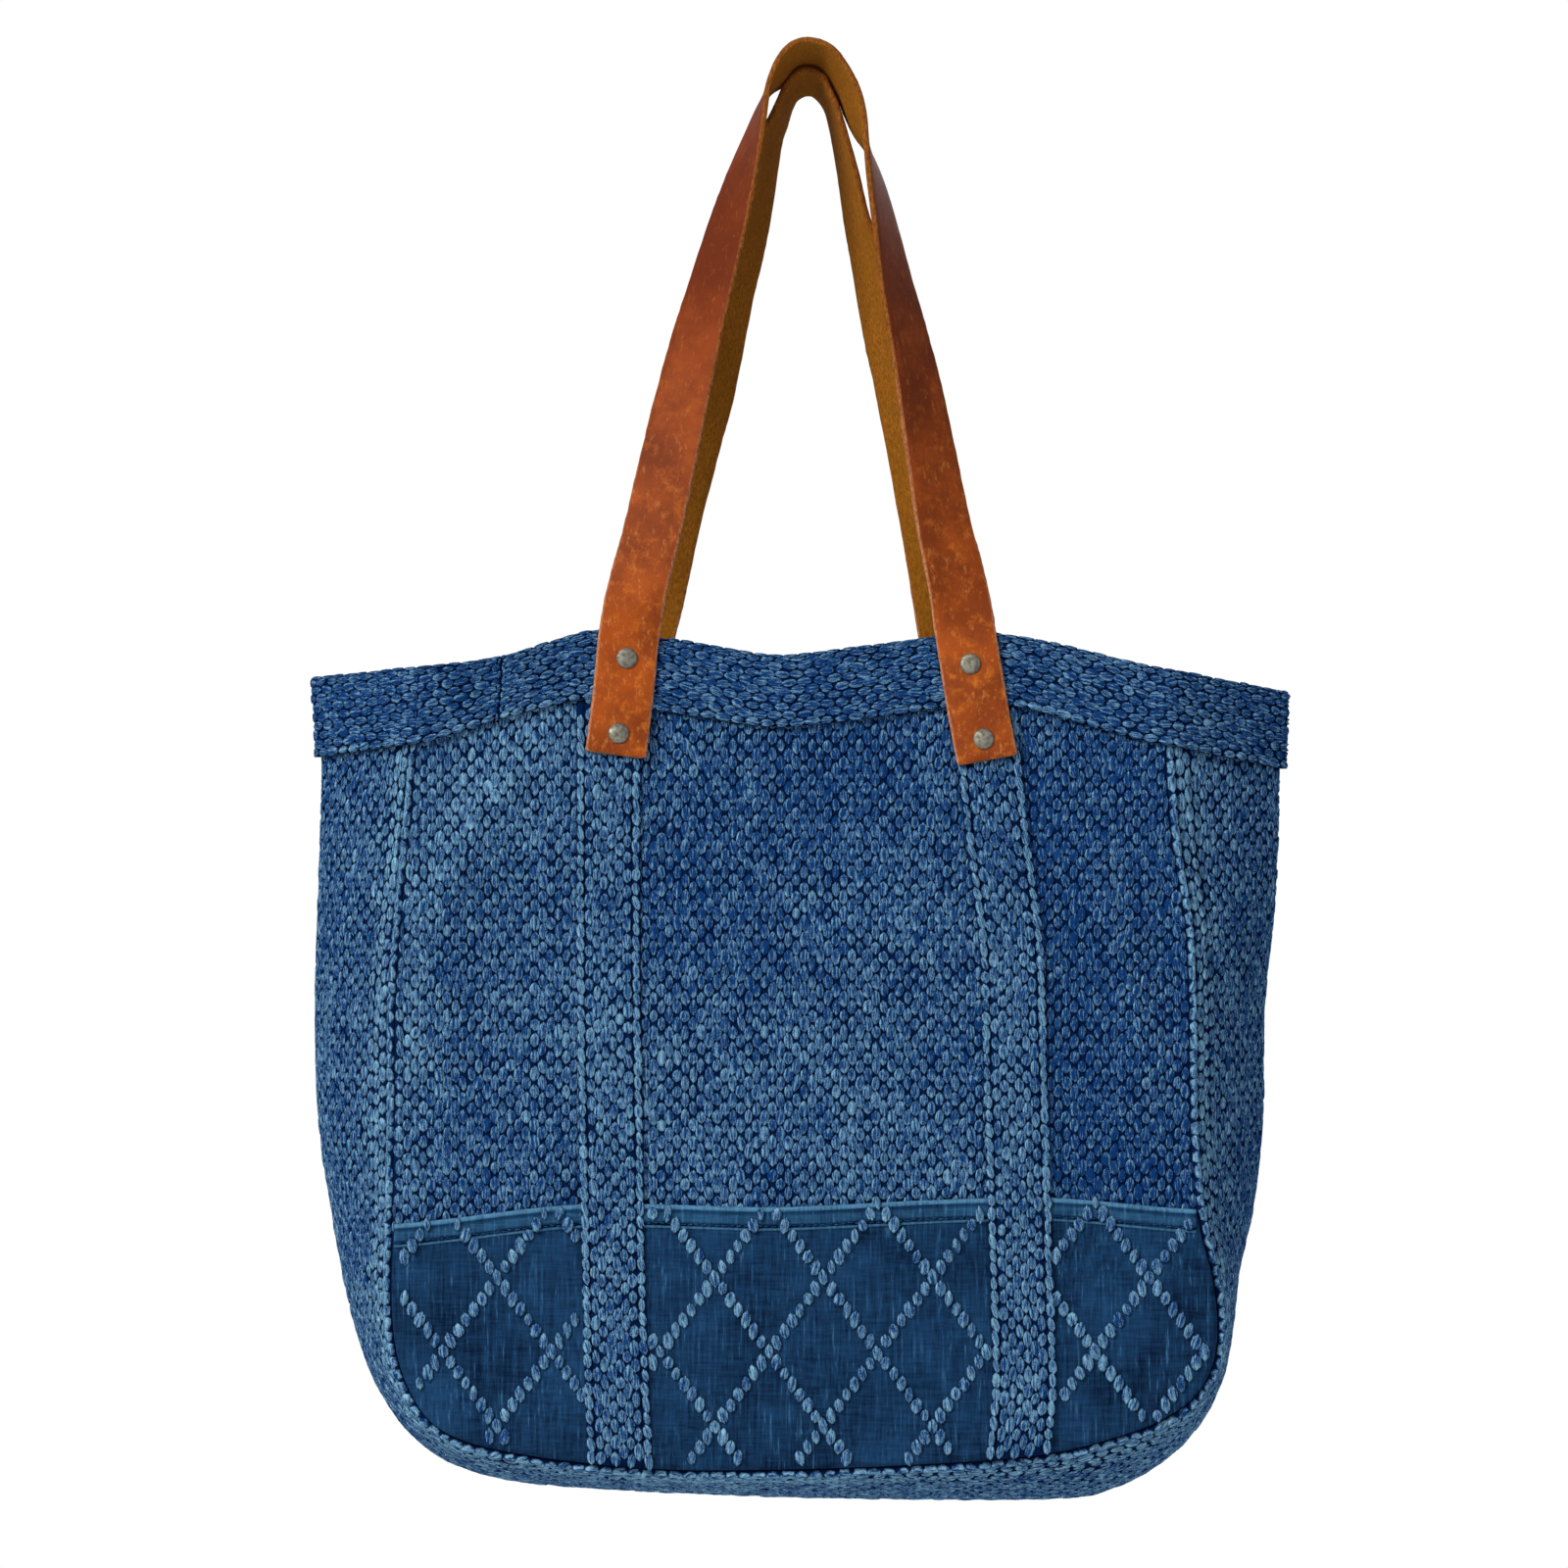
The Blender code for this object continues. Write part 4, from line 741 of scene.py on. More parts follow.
def makeGusset():
    wide, long = sideStrip["wide"], sideStrip["long"]
    edge = gusset["margin"]
    fromEdge = marginRows[:, 0]
    inner = np.linspace(0.016, wide - 0.016, 22)
    across = np.concatenate((fromEdge, inner, wide - fromEdge[::-1]))
    along = np.linspace(0, long, gusset["rows"])
    grid = np.broadcast_arrays(along[:, None], across[None, :])
    flat = onSheet(sideStrip, *grid, np.zeros(grid[0].shape))
    under = np.clip((belowBand(flat) - 0.002) / 0.006, 0.0, 1.0)
    lift = marginLift(np.minimum(grid[1], wide - grid[1]), under)
    outer = onSheet(sideStrip, *grid, lift - weave["sink"])
    pulled = np.clip(grid[1], 0.0024, wide - 0.0024)
    inside = onSheet(sideStrip, grid[0], pulled, np.full(lift.shape, -bag["cloth"]))
    cloth = wallMesh("gusset_cloth", outer, inside, ground, flip=True, inside=lining)
    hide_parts("gusset")
    # Grains: columns run along the strip, the narrow bead and two more stand on each margin
    body = honeycomb(edge + 0.0002, wide - edge - 0.0002, 0.004, long - 0.004,
                     weave["column"], weave["pitch"])
    near = np.minimum(body[:, 0], wide - body[:, 0]) - edge
    size = (weave["column"] * weave["wide"], weave["pitch"] * weave["long"])
    tones = gusset["tone"] + (gusset["marginTone"] - gusset["tone"]) * np.exp(-near / gusset["fade"])
    pieces = [np.column_stack((body, np.tile(size, (len(body), 1)), tones))]
    for k, (offset, width, pitch, tone) in enumerate(marginColumns):
        spots = np.arange(0.004 + 0.5 * pitch * (k % 2), long - 0.004, pitch)
        for column in (offset, wide - offset):
            pieces.append(np.column_stack((
                np.full(len(spots), column), spots, np.full(len(spots), width),
                np.full(len(spots), pitch * (1.22 if k == 0 else weave["long"])),
                np.full(len(spots), gusset["marginTone"] + tone))))
    rows = np.concatenate(pieces)
    middle = onSheet(sideStrip, rows[:, 1], rows[:, 0], np.zeros(len(rows)))
    rows = rows[belowBand(middle) > -0.003]

    def place(acrossAt, alongAt, lift):
        flatPoint = onSheet(sideStrip, alongAt, acrossAt, np.zeros(lift.shape))
        under = np.clip((belowBand(flatPoint) - 0.002) / 0.006, 0.0, 1.0)
        raised = marginLift(np.minimum(acrossAt, wide - acrossAt), under)
        return onSheet(sideStrip, alongAt, acrossAt, lift + raised)

    sizes = np.column_stack((rows[:, 2], rows[:, 3], np.full(len(rows), weave["height"])))
    centres = np.column_stack((rows[:, 0], rows[:, 1], np.full(len(rows), -weave["sink"])))
    half = 0.5 * wide
    for word, keep in (("front", rows[:, 0] < half), ("back", rows[:, 0] >= half)):
        grains = layGrains("gusset_" + word + "_grains", place, centres[keep], sizes[keep], riceWeave,
                           rows[keep, 4], flip=True, seed=7)
    print("stage: gusset,", len(rows), "grains; cut", round(wide, 3), "by", round(long, 3))


makeGusset()

# Mouth band

band = {"gap": 0.0009, "pitch": 0.00736, "rows": 10.9, "wide": 1.20, "long": 1.12, "tone": 0.0,
        "seamX": -0.150}


def bandLoop(share):
    # closed loop round the body at a share of the band's height: front, right fold, back, left fold
    across = np.sin(np.linspace(-0.5 * math.pi, 0.5 * math.pi, 41))
    ends = {}
    sides = {"left": (0, bag["leftCorner"]), "right": (bag["rightCorner"], len(edgeRows) - 1)}
    for word, rows in sides.items():
        seamX, seamZ, foldX, foldZ, bow = edgeCurve(np.linspace(*rows, 160))
        pick = 0 if word == "left" else -1
        level = mouthZ(seamX[pick]) - share * bandDepth(seamX[pick])
        foldLevel = mouthZ(foldX[pick]) - share * bandDepth(foldX[pick])
        order, foldOrder = np.argsort(seamZ), np.argsort(foldZ)
        ends[word] = gussetPoint(np.interp(level, seamZ[order], seamX[order]), level,
                                 np.interp(foldLevel, foldZ[foldOrder], foldX[foldOrder]), foldLevel,
                                 np.interp(level, seamZ[order], bow[order]), across)
    x = np.linspace(ends["left"][0, 0], ends["right"][0, 0], 140)
    z = mouthZ(x) - share * bandDepth(x)
    front = np.stack((x, -frontDepth(x, z), z), axis=1)
    behind = front[::-1] * (1.0, -1.0, 1.0)
    return np.concatenate((front, ends["right"][1:-1], behind, ends["left"][::-1][1:-1]))


def offsetLoop(loops, distance):
    # each loop moved outwards in plan, square to both neighbours
    forward = np.roll(loops, -1, axis=1) - loops
    square = np.stack((forward[..., 1], -forward[..., 0]), axis=-1)
    square /= np.linalg.norm(square, axis=-1, keepdims=True)
    before = np.roll(square, 1, axis=1)
    out = (square + before) / (1.0 + (square * before).sum(axis=-1, keepdims=True))
    return loops + np.concatenate((out, np.zeros(out.shape[:2] + (1,))), axis=-1) * distance


def makeBand():
    shares = np.linspace(0.0, 1.0, 9)
    loops = np.array([bandLoop(share) for share in shares])
    # rounded top that turns in over the cloth's edge, and a rolled lower edge
    outer = offsetLoop(loops, band["gap"] + bag["cloth"] - weave["sink"])
    inner = offsetLoop(loops, band["gap"])
    outer[0] += (outer[1] - outer[0]) * 0.25
    rim = 0.5 * (outer[0] + inner[0]) + np.array((0.0, 0.0, 0.0004))
    turned = np.concatenate((rim[None], outer))
    lined = np.concatenate((rim[None] - np.array((0.0, 0.0, 0.0012)), inner))
    cloth = wallMesh("mouth_band_cloth", turned, lined, ground, ring=True, flip=False, inside=lining)
    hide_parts("mouth_band")
    # Lay the grains on the band as a sheet: along is down the band, across runs round it
    lip = 0.4 * inner[0] + 0.6 * inner[1]
    grid = np.concatenate((lip[None], rim[None], outer))
    grid = np.concatenate((grid, grid[:, :1]), axis=1)
    steps = np.linalg.norm(np.diff(grid, axis=1), axis=-1).mean(axis=0)
    length = np.concatenate(((0.0,), np.cumsum(steps)))
    even = np.linspace(0, length[-1], 760)
    grid = np.array([[np.interp(even, length, row[:, axis]) for axis in range(3)] for row in grid])
    grid = grid.transpose(0, 2, 1)
    # the corners over the side seams are eased: mean of nine neighbours, away from the folded ends
    closed = grid[:, :-1]
    eased = sum(np.roll(closed, k, axis=1) for k in range(-4, 5)) / 9
    closed = closed + np.clip((0.222 - np.abs(closed[..., :1])) / 0.01, 0.0, 1.0) * (eased - closed)
    grid = np.concatenate((closed, closed[:, :1]), axis=1)
    sheet = makeSheet(grid, np.array((0.0, 0.0, zOf(0.0))))
    row = sheet["long"] / band["rows"]
    centres = honeycomb(0.0, sheet["long"] + 0.3 * row, 0.0, sheet["wide"] - band["pitch"],
                        row, band["pitch"])
    # the grains stop on both sides of the upright seam where the band's ends meet
    spots = np.linspace(0, sheet["wide"], 2000)
    found = onSheet(sheet, np.full(2000, 0.5 * sheet["long"]), spots, np.zeros(2000))
    seamAt = spots[np.argmin(np.abs(found[:, 0] - band["seamX"]) + (found[:, 1] > 0))]
    rows = []
    for low, high in ((-1.0, seamAt - 0.0002), (seamAt + 0.0002, 9.0)):
        middle, length = clipped(centres[:, 1], band["pitch"] * band["long"], low, high)
        rows.append(np.column_stack((centres[:, 0], middle, length))[length > 0.0014])
    downAt, roundAt, length = np.concatenate(rows).T
    lowest = downAt > sheet["long"] - 0.8 * row
    sizes = np.column_stack((np.full(len(downAt), row * band["wide"]), length,
                             np.full(len(downAt), weave["height"])))
    sizes[lowest, 2] *= 1.35
    tones = band["tone"] + 0.22 * lowest
    grains = layGrains("mouth_band_grains", lambda a, b, lift: onSheet(sheet, a, b, lift),
                       np.column_stack((downAt, roundAt, np.zeros(len(downAt)))), sizes, riceWeave, tones,
                       flip=True, seed=11)
    print("stage: mouth band,", len(downAt), "grains; cut", round(float(sheet["wide"]), 3), "long")


makeBand()

# Cloth strips under the handles

strip = {"thick": 0.0022, "columns": 6, "edge": 0.0046, "tone": 0.24, "edgeTone": 0.46}
# Height of a strip at distances from its edge, as shares of its thickness: a folded edge
# that stands up as a bead, a stitched groove, then the flat middle
beadRows = np.array((
    (0.0000, 0.35), (0.0003, 0.75), (0.0011, 1.08), (0.0020, 1.18), (0.0030, 1.08), (0.0037, 0.74),
    (0.0042, 0.72), (0.0049, 0.96), (0.0065, 1.00)))
bead = {"at": 0.0020, "wide": 0.0040, "pitch": 0.0068, "long": 0.0084, "slant": 0.16}


def pocketStep(x, z):
    # the strip climbs over the pocket's hem
    down = np.clip((hemZ(x) + 0.006 - z) / 0.005, 0.0, 1.0)
    return 0.0015 * down * down * (3 - 2 * down)


def makeStrip(word, column, side):
    sideWord = "left" if column == 1 else "right"
    name = word + "_" + sideWord + "_strip"
    topX = stripX(zOf(0.1), column)
    top = float(mouthZ(topX) - bandDepth(topX)) - 0.0012
    bottomX = stripX(zOf(0.99), column)
    bottom = float(baseSeamZ(bottomX)) + 0.0016
    half = 0.5 * bag["stripWidth"]
    edges = beadRows[:, 0]
    middle = np.linspace(-half + 0.008, half - 0.008, 6)
    across = np.concatenate((-half + edges, middle, half - edges[::-1]))
    raised = np.interp(half - np.abs(across), beadRows[:, 0], beadRows[:, 1])
    z = np.linspace(top, bottom, 96)

    def place(a, b, lift):
        x = stripX(b, column) + a
        slope = np.clip((b - bottom) / -0.02 + 1.0, 0.0, 1.0)
        zHere = b + slope * (baseSeamZ(x) - baseSeamZ(x - a))
        over = pocketStep(x, zHere) if side == frontSide else 0.0
        return onPanel(x, zHere, lift + over, side)

    a, b = np.broadcast_arrays(across[None, :], z[:, None])
    base = 0.0005
    outer = place(a, b, base + strip["thick"] * raised - weave["sink"])
    inner = place(a, b, np.full(a.shape, base))
    cloth = wallMesh(name + "_cloth", outer, inner, ground, flip=side == backSide)
    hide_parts(name)
    wide = (bag["stripWidth"] - 2 * strip["edge"]) / strip["columns"]
    lift = base + strip["thick"] - weave["sink"]
    body = honeycomb(-half + strip["edge"], half - strip["edge"] - 0.0001, bottom + 0.003, top - 0.002,
                     wide, weave["pitch"])
    rows = [np.column_stack((body, np.full(len(body), lift), np.full(len(body), wide * weave["wide"]),
                             np.full(len(body), weave["pitch"] * weave["long"]),
                             np.full(len(body), strip["tone"])))]
    spots = np.arange(bottom + 0.003, top - 0.0042, bead["pitch"])
    for at in (-half + bead["at"], half - bead["at"]):
        rows.append(np.column_stack((
            np.full(len(spots), at), spots, np.full(len(spots), lift), np.full(len(spots), bead["wide"]),
            np.full(len(spots), bead["long"]), np.full(len(spots), strip["edgeTone"]))))
    rows = np.concatenate(rows)
    sizes = np.column_stack((rows[:, 3], rows[:, 4], np.full(len(rows), weave["height"])))
    slant = np.where(np.arange(len(rows)) < len(body), 0.0, bead["slant"])
    grains = layGrains(name + "_grains", place, rows[:, :3], sizes, riceWeave, rows[:, 5],
                       angles=slant, flip=side == backSide, seed=13 + column)


for word, side in (("front", frontSide), ("back", backSide)):
    for column in (1, 2):
        makeStrip(word, column, side)
print("stage: strips")

# Front pocket with its hem and stitched diamonds

pocket = {
    "cut": (0.400, 0.130),    # flat width and length of the cloth, and its area in square metres
    "area": 0.048,
    "thick": 0.0010, "gap": 0.0005, "inset": 0.0012, "hem": 0.0106, "hemRise": 0.0015,
    "diamondWide": 0.0533,    # from crossing to crossing along a row
    "diamondHigh": 0.0726,
    "crossX": 0.0092,         # one crossing, from which the lattice is counted
    "crossZ": -0.5866,
    "stitch": (0.0052, 0.0086, 0.0021),
    "stitches": 7,            # from one crossing to the next
    "hemStitch": (0.0026, 0.0007, 0.0005),
    "puff": 0.0012,
    "tone": 0.34,
}


# Hem from its top edge down: place, height as a share of hemRise, and a mark: 1 where the folded edge is
# worn pale, -1 where painted shade darkens a stitched groove
hemProfile = np.array((
    (0.0006, 0.0, 0.2), (0.0008, 0.6, 0.9), (0.0002, 1.1, 1.0), (-0.0010, 1.15, 0.8),
    (-0.0020, 0.85, -0.6), (-0.0028, 0.85, -0.3), (-0.0036, 1.0, 0.1), (-0.0070, 1.0, 0.1),
    (-0.0079, 0.80, -0.2), (-0.0084, 0.20, -1.0), (-0.0092, 0.20, -1.0), (-0.0096, 0.85, 0.3),
    (-0.0104, 0.85, 0.6), (-0.0110, 0.0, 0.0)))


def makePocket():
    columns, rows = 120, 34
    leftX = float(sideSeamX(hemZ(-0.2), False)) + pocket["inset"]
    rightX = float(sideSeamX(hemZ(0.19), True)) - pocket["inset"]
    # rows fall from the hem to the base seam; each row is drawn in to the side seams at its height
    s = np.linspace(0, 1, columns)
    t = np.linspace(0, 1, rows)[:, None]
    x = leftX + (rightX - leftX) * s + 0 * t
    corners = [bag["halfWidth"] * edgeRows[bag[word], 0] for word in ("leftCorner", "rightCorner")]
    for _ in range(3):
        cornered = np.clip(x, *corners)
        z = hemZ(x) + (baseSeamZ(cornered) + pocket["inset"] - hemZ(x)) * t
        left = sideSeamX(z[:, :1] + 0 * x, False) + pocket["inset"]
        right = sideSeamX(z[:, -1:] + 0 * x, True) - pocket["inset"]
        x = left + (right - left) * s
    # soft quilting: the stitched lines pull the cloth down a little
    a = (x - pocket["crossX"]) / pocket["diamondWide"]
    b = (z - pocket["crossZ"]) / pocket["diamondHigh"]
    one, two = (a + b) % 1.0, (a - b) % 1.0
    away = np.minimum(np.minimum(one, 1 - one), np.minimum(two, 1 - two))
    puff = pocket["puff"] * np.sin(0.5 * math.pi * np.clip(away / 0.5, 0, 1)) ** 0.7
    lift = pocket["gap"] + pocket["thick"]
    outer = onPanel(x, z, lift + puff, frontSide)
    inner = onPanel(x, z, np.full(x.shape, pocket["gap"]), frontSide)
    cloth = wallMesh("front_pocket_cloth", outer, inner, pocketCloth)
    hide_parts("front_pocket")
    # The hem: the cloth turned down twice, with a rounded top edge and a stitched lower edge
    s = np.linspace(0, 1, 150)
    x = (leftX + 0.0002) + (rightX - leftX - 0.0004) * s
    profile = hemProfile
    z = hemZ(x)[None, :] + profile[:, :1]
    high = lift + 0.0003 + pocket["hemRise"] * profile[:, 1:2] + 0 * x
    outer = onPanel(x[None, :] + 0 * z, z, high, frontSide)
    inner = onPanel(x[None, :] + 0 * z, z, np.full(z.shape, lift - 0.0004), frontSide)
    hem = wallMesh("front_pocket_hem", outer, inner, hemCloth)
    # the hem's marks: worn pale folds, and painted shade in the grooves
    hemWearAndGrooveShade = hem.data.attributes.new("hemWearAndGrooveShade", "FLOAT", "POINT")
    hemWearAndGrooveShade.data.foreach_set("value", np.tile(np.repeat(profile[:, 2], len(x)), 2).astype(np.float32))
    # Diamonds: stitches along both families of slanting lines, one at each crossing
    found = []
    count = pocket["stitches"]
    for slant in (1.0, -1.0):
        number = np.arange(-5 * count, 5 * count + 1)
        number = number[(number % count != 0) | (slant > 0)]
        for k in range(-8, 9):
            share = 0.5 * number / count
            z = pocket["crossZ"] + share * pocket["diamondHigh"]
            x = pocket["crossX"] + (k + slant * share) * pocket["diamondWide"]
            found.append(np.column_stack((x, z, np.full(len(x), 0.14 * slant))))
    found = np.concatenate(found)
    x, z, angle = found.T
    keep = (x > sideSeamX(z, False) + 0.0042) & (x < sideSeamX(z, True) - 0.0042)
    keep &= (z > baseSeamZ(x) + 0.0045) & (z < hemZ(x) + 0.0006)
    for column in (1, 2):
        keep &= np.abs(x - stripX(z, column)) > 0.5 * bag["stripWidth"] + 0.0012
    x, z, angle = x[keep], z[keep], angle[keep]
    onHem = (z > hemZ(x) - pocket["hem"])
    width, length, height = pocket["stitch"]
    atTop = z > hemZ(x) - 0.0028
    sizes = np.column_stack((np.where(atTop, 0.6 * width, width), np.where(atTop, 0.8 * length, length),
                             np.full(len(x), height)))
    high = lift + 0.0001 + onHem * pocket["hemRise"]
    stitches = layGrains("pocket_diamond_stitches", lambda a, b, up: onPanel(a, b, up, frontSide),
                         np.column_stack((x, z, high)), sizes, riceWeave,
                         pocket["tone"] + 0.15 * atTop, angles=angle, seed=21)
    # A running stitch holds the hem down, just above its lower edge
    x = np.arange(leftX + 0.003, rightX - 0.003, 0.0034)
    z = hemZ(x) - pocket["hem"] + 0.0022
    run = layGrains("pocket_hem_stitches", lambda a, b, up: onPanel(a, b, up, frontSide),
                    np.column_stack((x, z, np.full(len(x), lift + 0.0001 + pocket["hemRise"]))),
                    np.tile(pocket["hemStitch"], (len(x), 1)), riceWeave, np.full(len(x), -0.2), seed=22)
    print("stage: pocket")


makePocket()

# Leather handles

strap = {
    "width": 0.0300, "thick": 0.0031, "frontHang": -0.008, "backHang": 0.0115,
    "lift": 0.0009 + 0.0010 + 0.0020, "corner": 0.0012, "onBag": 2, "stations": 8,
}


def strapPath(word, side):
    # middle line, width direction and grain direction: the strap lies on the cloth at both ends,
    # then climbs straight to the hang point while it turns
    rows = strapRows[word]
    x, z, turn = rows[:, 0] * bag["handleSpan"], rows[:, 1] * bag["mouthDrop"], rows[:, 2].copy()
    hang = strap["frontHang"] if side == frontSide else strap["backHang"]
    y = side * (frontDepth(x, z) + strap["lift"] + 0.5 * strap["thick"])
    count, low = len(rows), strap["onBag"]
    high = count - 1 - low
    for k in range(low + 1, high):
        foot = low if k < count / 2 else high
        y[k] = y[foot] + (hang - y[foot]) * np.clip((z[k] - z[foot]) / -z[foot], 0.0, 1.0)
    step = 0.001
    slope = (frontDepth(x + step, z) - frontDepth(x - step, z)) / (2 * step) * np.sign(x)
    fromEnd = np.minimum(np.arange(count), np.arange(count)[::-1])
    turn = turn - np.degrees(np.arctan(slope)) * (fromEnd <= low)
    stations = np.linspace(0, count - 1, (count - 1) * strap["stations"] + 1)
    path = smoothRows(np.stack((x, y, z, turn), axis=1), stations)
    line, turn = path[:, :3], np.radians(path[:, 3])[:, None]
    forward = np.gradient(line, axis=0)
    forward /= np.linalg.norm(forward, axis=-1, keepdims=True)
    inward = np.stack((forward[:, 2], np.zeros(len(line)), -forward[:, 0]), axis=1)
    inward /= np.linalg.norm(inward, axis=-1, keepdims=True)
    width = -side * np.cos(turn) * inward + np.sin(turn) * np.array((0.0, -1.0, 0.0))
    width -= forward * (width * forward).sum(axis=-1, keepdims=True)
    width /= np.linalg.norm(width, axis=-1, keepdims=True)
    grain = -side * np.cross(width, forward)
    outwards = side * grain[:, 1:2] * np.cos(turn)
    grain *= np.sign(outwards - (grain * inward).sum(axis=-1, keepdims=True) * np.sin(turn))
    return line, width, grain


def strapProfile():
    # rounded rectangle: flat grain side, flat back, softly rounded cut edges
    half, thick, corner = 0.5 * strap["width"], 0.5 * strap["thick"], strap["corner"]
    top = [(w, thick) for w in np.linspace(-half + corner, half - corner, 7)]
    bend = [(half - corner * (1 - math.sin(a)), thick - corner * (1 - math.cos(a)))
            for a in (0.5, 1.05, 1.57)]
    right = top + bend + [(half, 0.0)]
    lower = [(w, -h) for w, h in bend[::-1]]
    lower += [(w, -thick) for w in np.linspace(half - corner, -half + corner, 7)]
    left = [(-w, -h) for w, h in bend] + [(-half, 0.0)] + [(-w, h) for w, h in bend[::-1]]
    return np.array(right + lower + left)


def makeHandle(word, side):
    line, width, grain = strapPath(word, side)
    profile = strapProfile()
    count, around = len(line), len(profile)
    rng = np.random.default_rng(31 if side == frontSide else 32)
    atEdge = np.abs(profile[:, 0]) > 0.5 * strap["width"] - strap["corner"]
    across = profile[:, 0] + 0.00012 * rng.standard_normal((count, around)) * atEdge
    loops = line[:, None] + across[..., None] * width[:, None] + profile[None, :, 1:] * grain[:, None]
    # the two ends are closed by a shrunken loop and a middle point
    forward = np.gradient(line, axis=0)
    forward /= np.linalg.norm(forward, axis=-1, keepdims=True)
    caps = []
    for end, sign in ((0, -1), (-1, 1)):
        shrunk = line[end] + 0.82 * (loops[end] - line[end]) + sign * 0.0005 * forward[end]
        caps.append(shrunk)
    loops = np.concatenate((caps[0][None], loops, caps[1][None]))
    count += 2
    faces = gridFaces(count, around, ring=True)
    middles = np.stack((loops[0].mean(axis=0), loops[-1].mean(axis=0)))
    points = np.concatenate((loops.reshape(-1, 3), middles))
    k = np.arange(around)
    after = (k + 1) % around
    total, lastRing = count * around, (count - 1) * around
    fans = np.concatenate((np.stack((after, k, np.full(around, total), np.full(around, total)), axis=1),
                           np.stack((lastRing + k, lastRing + after, np.full(around, total + 1),
                                     np.full(around, total + 1)), axis=1)))
    triangles = np.concatenate((faces[:, :3], faces[:, (0, 2, 3)], fans[:, :3]))
    if side == backSide:
        triangles = triangles[:, ::-1]
    onGrain = np.clip((profile[:, 1] / (0.5 * strap["thick"]) + 0.2) / 0.9, 0.0, 1.0)
    pastFlat = np.abs(profile[:, 0]) - 0.5 * strap["width"] + strap["corner"]
    onRim = np.clip(pastFlat / (0.7 * strap["corner"]), 0, 1)
    away = np.concatenate(((0.0,), np.cumsum(np.linalg.norm(np.diff(line, axis=0), axis=1))))
    run = np.clip(1.0 - np.minimum(away, away[-1] - away) / 0.24, 0.0, 1.0)
    run = np.concatenate((run[:1], run, run[-1:]))
    attributes = {
        "side": np.concatenate((np.tile(onGrain, count), (0.4, 0.4))),
        "rim": np.concatenate(((np.tile(onRim, (count, 1))).ravel(), (1.0, 1.0))),
        "run": np.concatenate((np.repeat(run, around), (1.0, 1.0))),
    }
    piece = makeMesh(word + "_handle_leather", points, triangles, leather, attributes)
    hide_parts(word + "_handle")
    return line, grain


# Rivets

rivet = {"fromEnd": 0.010, "pitch": 0.038, "cap": 0.0052, "high": 0.0021, "burr": 0.0045, "shank": 0.0020}


def makeRivet(name, point, outward):
    # turned profile: burr, shank, a thin rim and a low dome, carried round the rivet's axis
    seat = 0.5 * strap["thick"] + 0.00005
    back = -(0.5 * strap["thick"] + strap["lift"] + bag["cloth"] + 0.0003)
    dome = np.linspace(0.0, 0.5 * math.pi, 9)[:-1]
    cap, high, burr, rim = rivet["cap"], rivet["high"], rivet["burr"], 0.0003
    profile = [(0.0, back - 0.0010), (burr * 0.9, back - 0.0010), (burr, back - 0.0006), (burr, back),
               (rivet["shank"], back), (rivet["shank"], seat), (cap * 0.98, seat)]
    profile += [(cap * math.cos(a) ** 0.8, seat + rim + (high - rim) * math.sin(a)) for a in dome]
    profile = np.array(profile + [(0.0, seat + high)])
    around = 32
    angle = np.arange(around) * 2 * math.pi / around
    axis = outward / np.linalg.norm(outward)
    one = np.cross(axis, (0.0, 0.0, 1.0))
    one /= np.linalg.norm(one)
    two = np.cross(axis, one)
    spoke = np.cos(angle)[:, None] * one + np.sin(angle)[:, None] * two
    rings = point + profile[1:-1, None, :1] * spoke + profile[1:-1, None, 1:] * axis
    count = len(rings)
    ends = [point + profile[0, 1] * axis, point + profile[-1, 1] * axis]
    points = np.concatenate((rings.reshape(-1, 3), ends))
    faces = gridFaces(count, around, ring=True)
    k = np.arange(around)
    after = (k + 1) % around
    triangles = np.concatenate((faces[:, :3], faces[:, (0, 2, 3)],
                                np.stack((after, k, np.full(around, count * around)), axis=1),
                                np.stack(((count - 1) * around + k, (count - 1) * around + after,
                                          np.full(around, count * around + 1)), axis=1)))
    piece = makeMesh(name + "_metal", points, triangles, brass)
    piece.data.set_sharp_from_angle(angle=math.radians(50))
    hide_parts(name)


for word, side in (("front", frontSide), ("back", backSide)):
    line, grain = makeHandle(word, side)
    for endWord, order in (("left", slice(None)), ("right", slice(None, None, -1))):
        points, out = line[order], grain[order]
        away = np.concatenate(((0.0,), np.cumsum(np.linalg.norm(np.diff(points, axis=0), axis=1))))
        levels = {"lower": rivet["fromEnd"], "upper": rivet["fromEnd"] + rivet["pitch"]}
        for level, distance in levels.items():
            point = np.array([np.interp(distance, away, points[:, k]) for k in range(3)])
            outward = np.array([np.interp(distance, away, out[:, k]) for k in range(3)])
            makeRivet("_".join((word, endWord, level, "rivet")), point, outward)
print("stage: handles and rivets")

# Camera, floor and light. The photograph is 1600 pixels wide at 0.484 mm a pixel.

view = {"distance": 4.0, "millimetresPerPixel": 0.484, "pixels": 1600, "middlePixel": (800, 800),
        "hangPixel": (821, 88), "faceY": -0.030}


def makeCamera():
    scale = view["millimetresPerPixel"] * 0.001
    x = (view["middlePixel"][0] - view["hangPixel"][0]) * scale
    z = -(view["middlePixel"][1] - view["hangPixel"][1]) * scale
    data = bpy.data.cameras.new("camera")
    data.sensor_width = 36.0
    data.lens = 36.0 * view["distance"] / (view["pixels"] * scale)
    data.clip_end = 50.0
    camera = bpy.data.objects.new("camera", data)
    camera.location = (x, view["faceY"] - view["distance"], z)
    camera.rotation_euler = (math.radians(90.0), 0.0, 0.0)
    bpy.context.scene.collection.objects.link(camera)
    bpy.context.scene.camera = camera


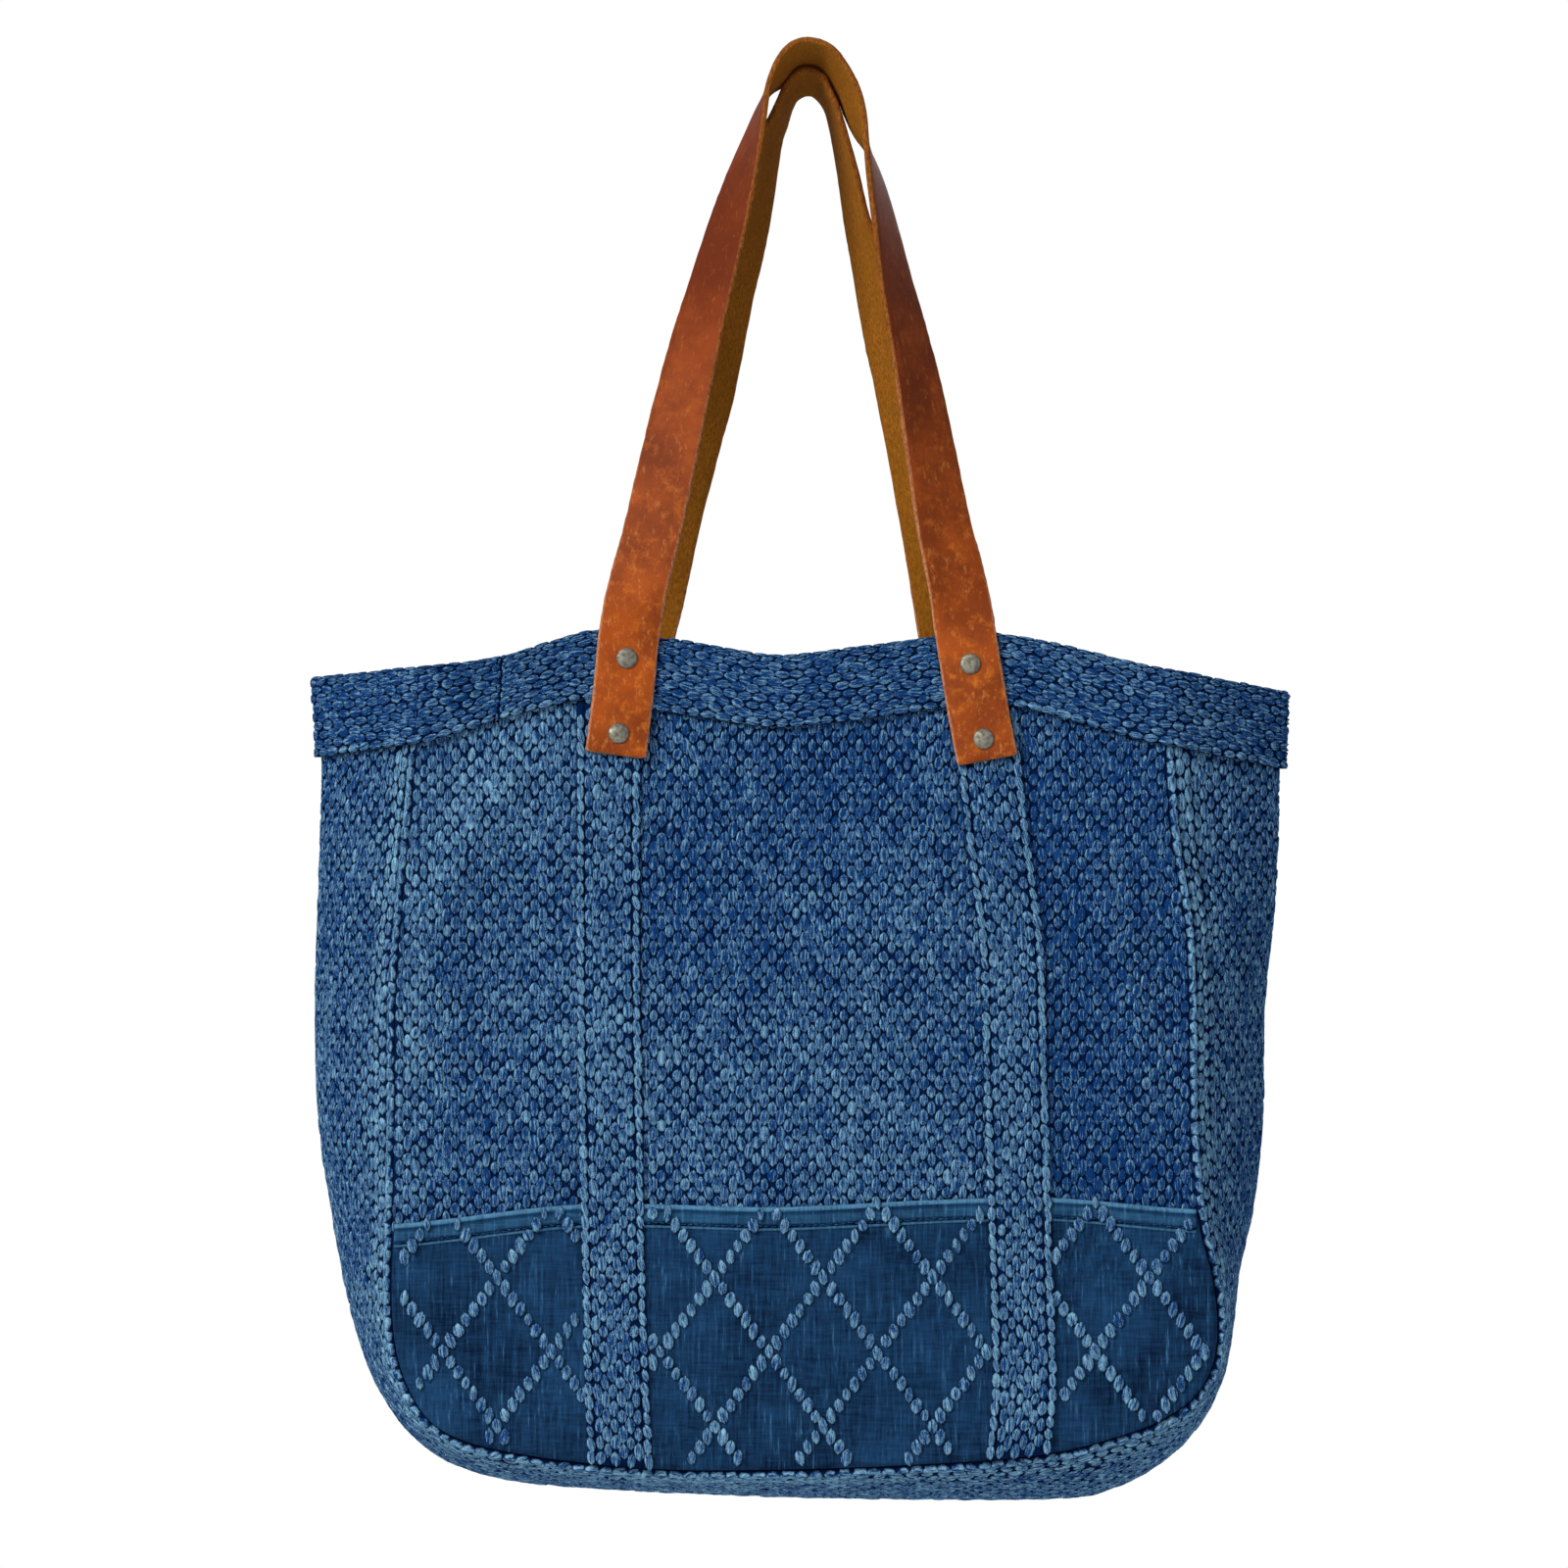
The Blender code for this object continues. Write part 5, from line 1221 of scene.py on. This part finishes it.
def makeFloor():
    # a pale disc well under the bag
    angle = np.arange(96) * 2 * math.pi / 96
    mesh = bpy.data.meshes.new("floor")
    points = np.stack((1.25 * np.cos(angle), 1.25 * np.sin(angle), np.full(96, -1.05)), axis=1)
    mesh.from_pydata(points.tolist(), [], [list(range(96))])
    # Matt painted board, evenly pale: it has no texture of its own
    material, _, shader = newMaterial("paleFloor", 0.9)
    shader.inputs["Base Color"].default_value = toLinear("#f1f1f0")
    mesh.materials.append(material)
    floor = bpy.data.objects.new("floor", mesh)
    bpy.context.scene.collection.objects.link(floor)


def makeLight(name, place, size, watts, colour):
    data = bpy.data.lights.new(name, "AREA")
    data.size = size
    data.energy = watts
    data.color = toLinear(colour)[:3]
    light = bpy.data.objects.new(name, data)
    light.location = place
    aim = np.array((0.0, 0.0, -0.4)) - np.array(place)
    tilt, turn = math.atan2(math.hypot(aim[0], aim[1]), -aim[2]), math.atan2(aim[1], aim[0])
    light.rotation_euler = (tilt, 0.0, turn - 0.5 * math.pi)
    bpy.context.scene.collection.objects.link(light)


def makeWorld():
    world = bpy.data.worlds.new("studio")
    bpy.context.scene.world = world
    world.use_nodes = True
    tree = world.node_tree
    tree.nodes.clear()
    soft = addNode(tree, "Background", {"Color": toLinear("#f2f5fa"), "Strength": 0.58})
    plain = addNode(tree, "Background", {"Color": toLinear("#ffffff"), "Strength": 1.0})
    seen = addNode(tree, "LightPath").outputs["Is Camera Ray"]
    both = addNode(tree, "MixShader", in0=seen, in1=soft.outputs[0], in2=plain.outputs[0])
    out = addNode(tree, "OutputWorld")
    tree.links.new(both.outputs[0], out.inputs["Surface"])


makeCamera()
makeFloor()
makeWorld()
makeLight("keyLight", (-2.2, -2.4, 1.6), 1.2, 150.0, "#fffaf2")
makeLight("fillLight", (2.2, -2.2, 0.1), 1.8, 8.0, "#eef4ff")
makeLight("rearLight", (0.6, 2.4, 1.3), 1.8, 40.0, "#ffffff")
bpy.context.scene.view_settings.view_transform = "Standard"
print("stage: camera and light")
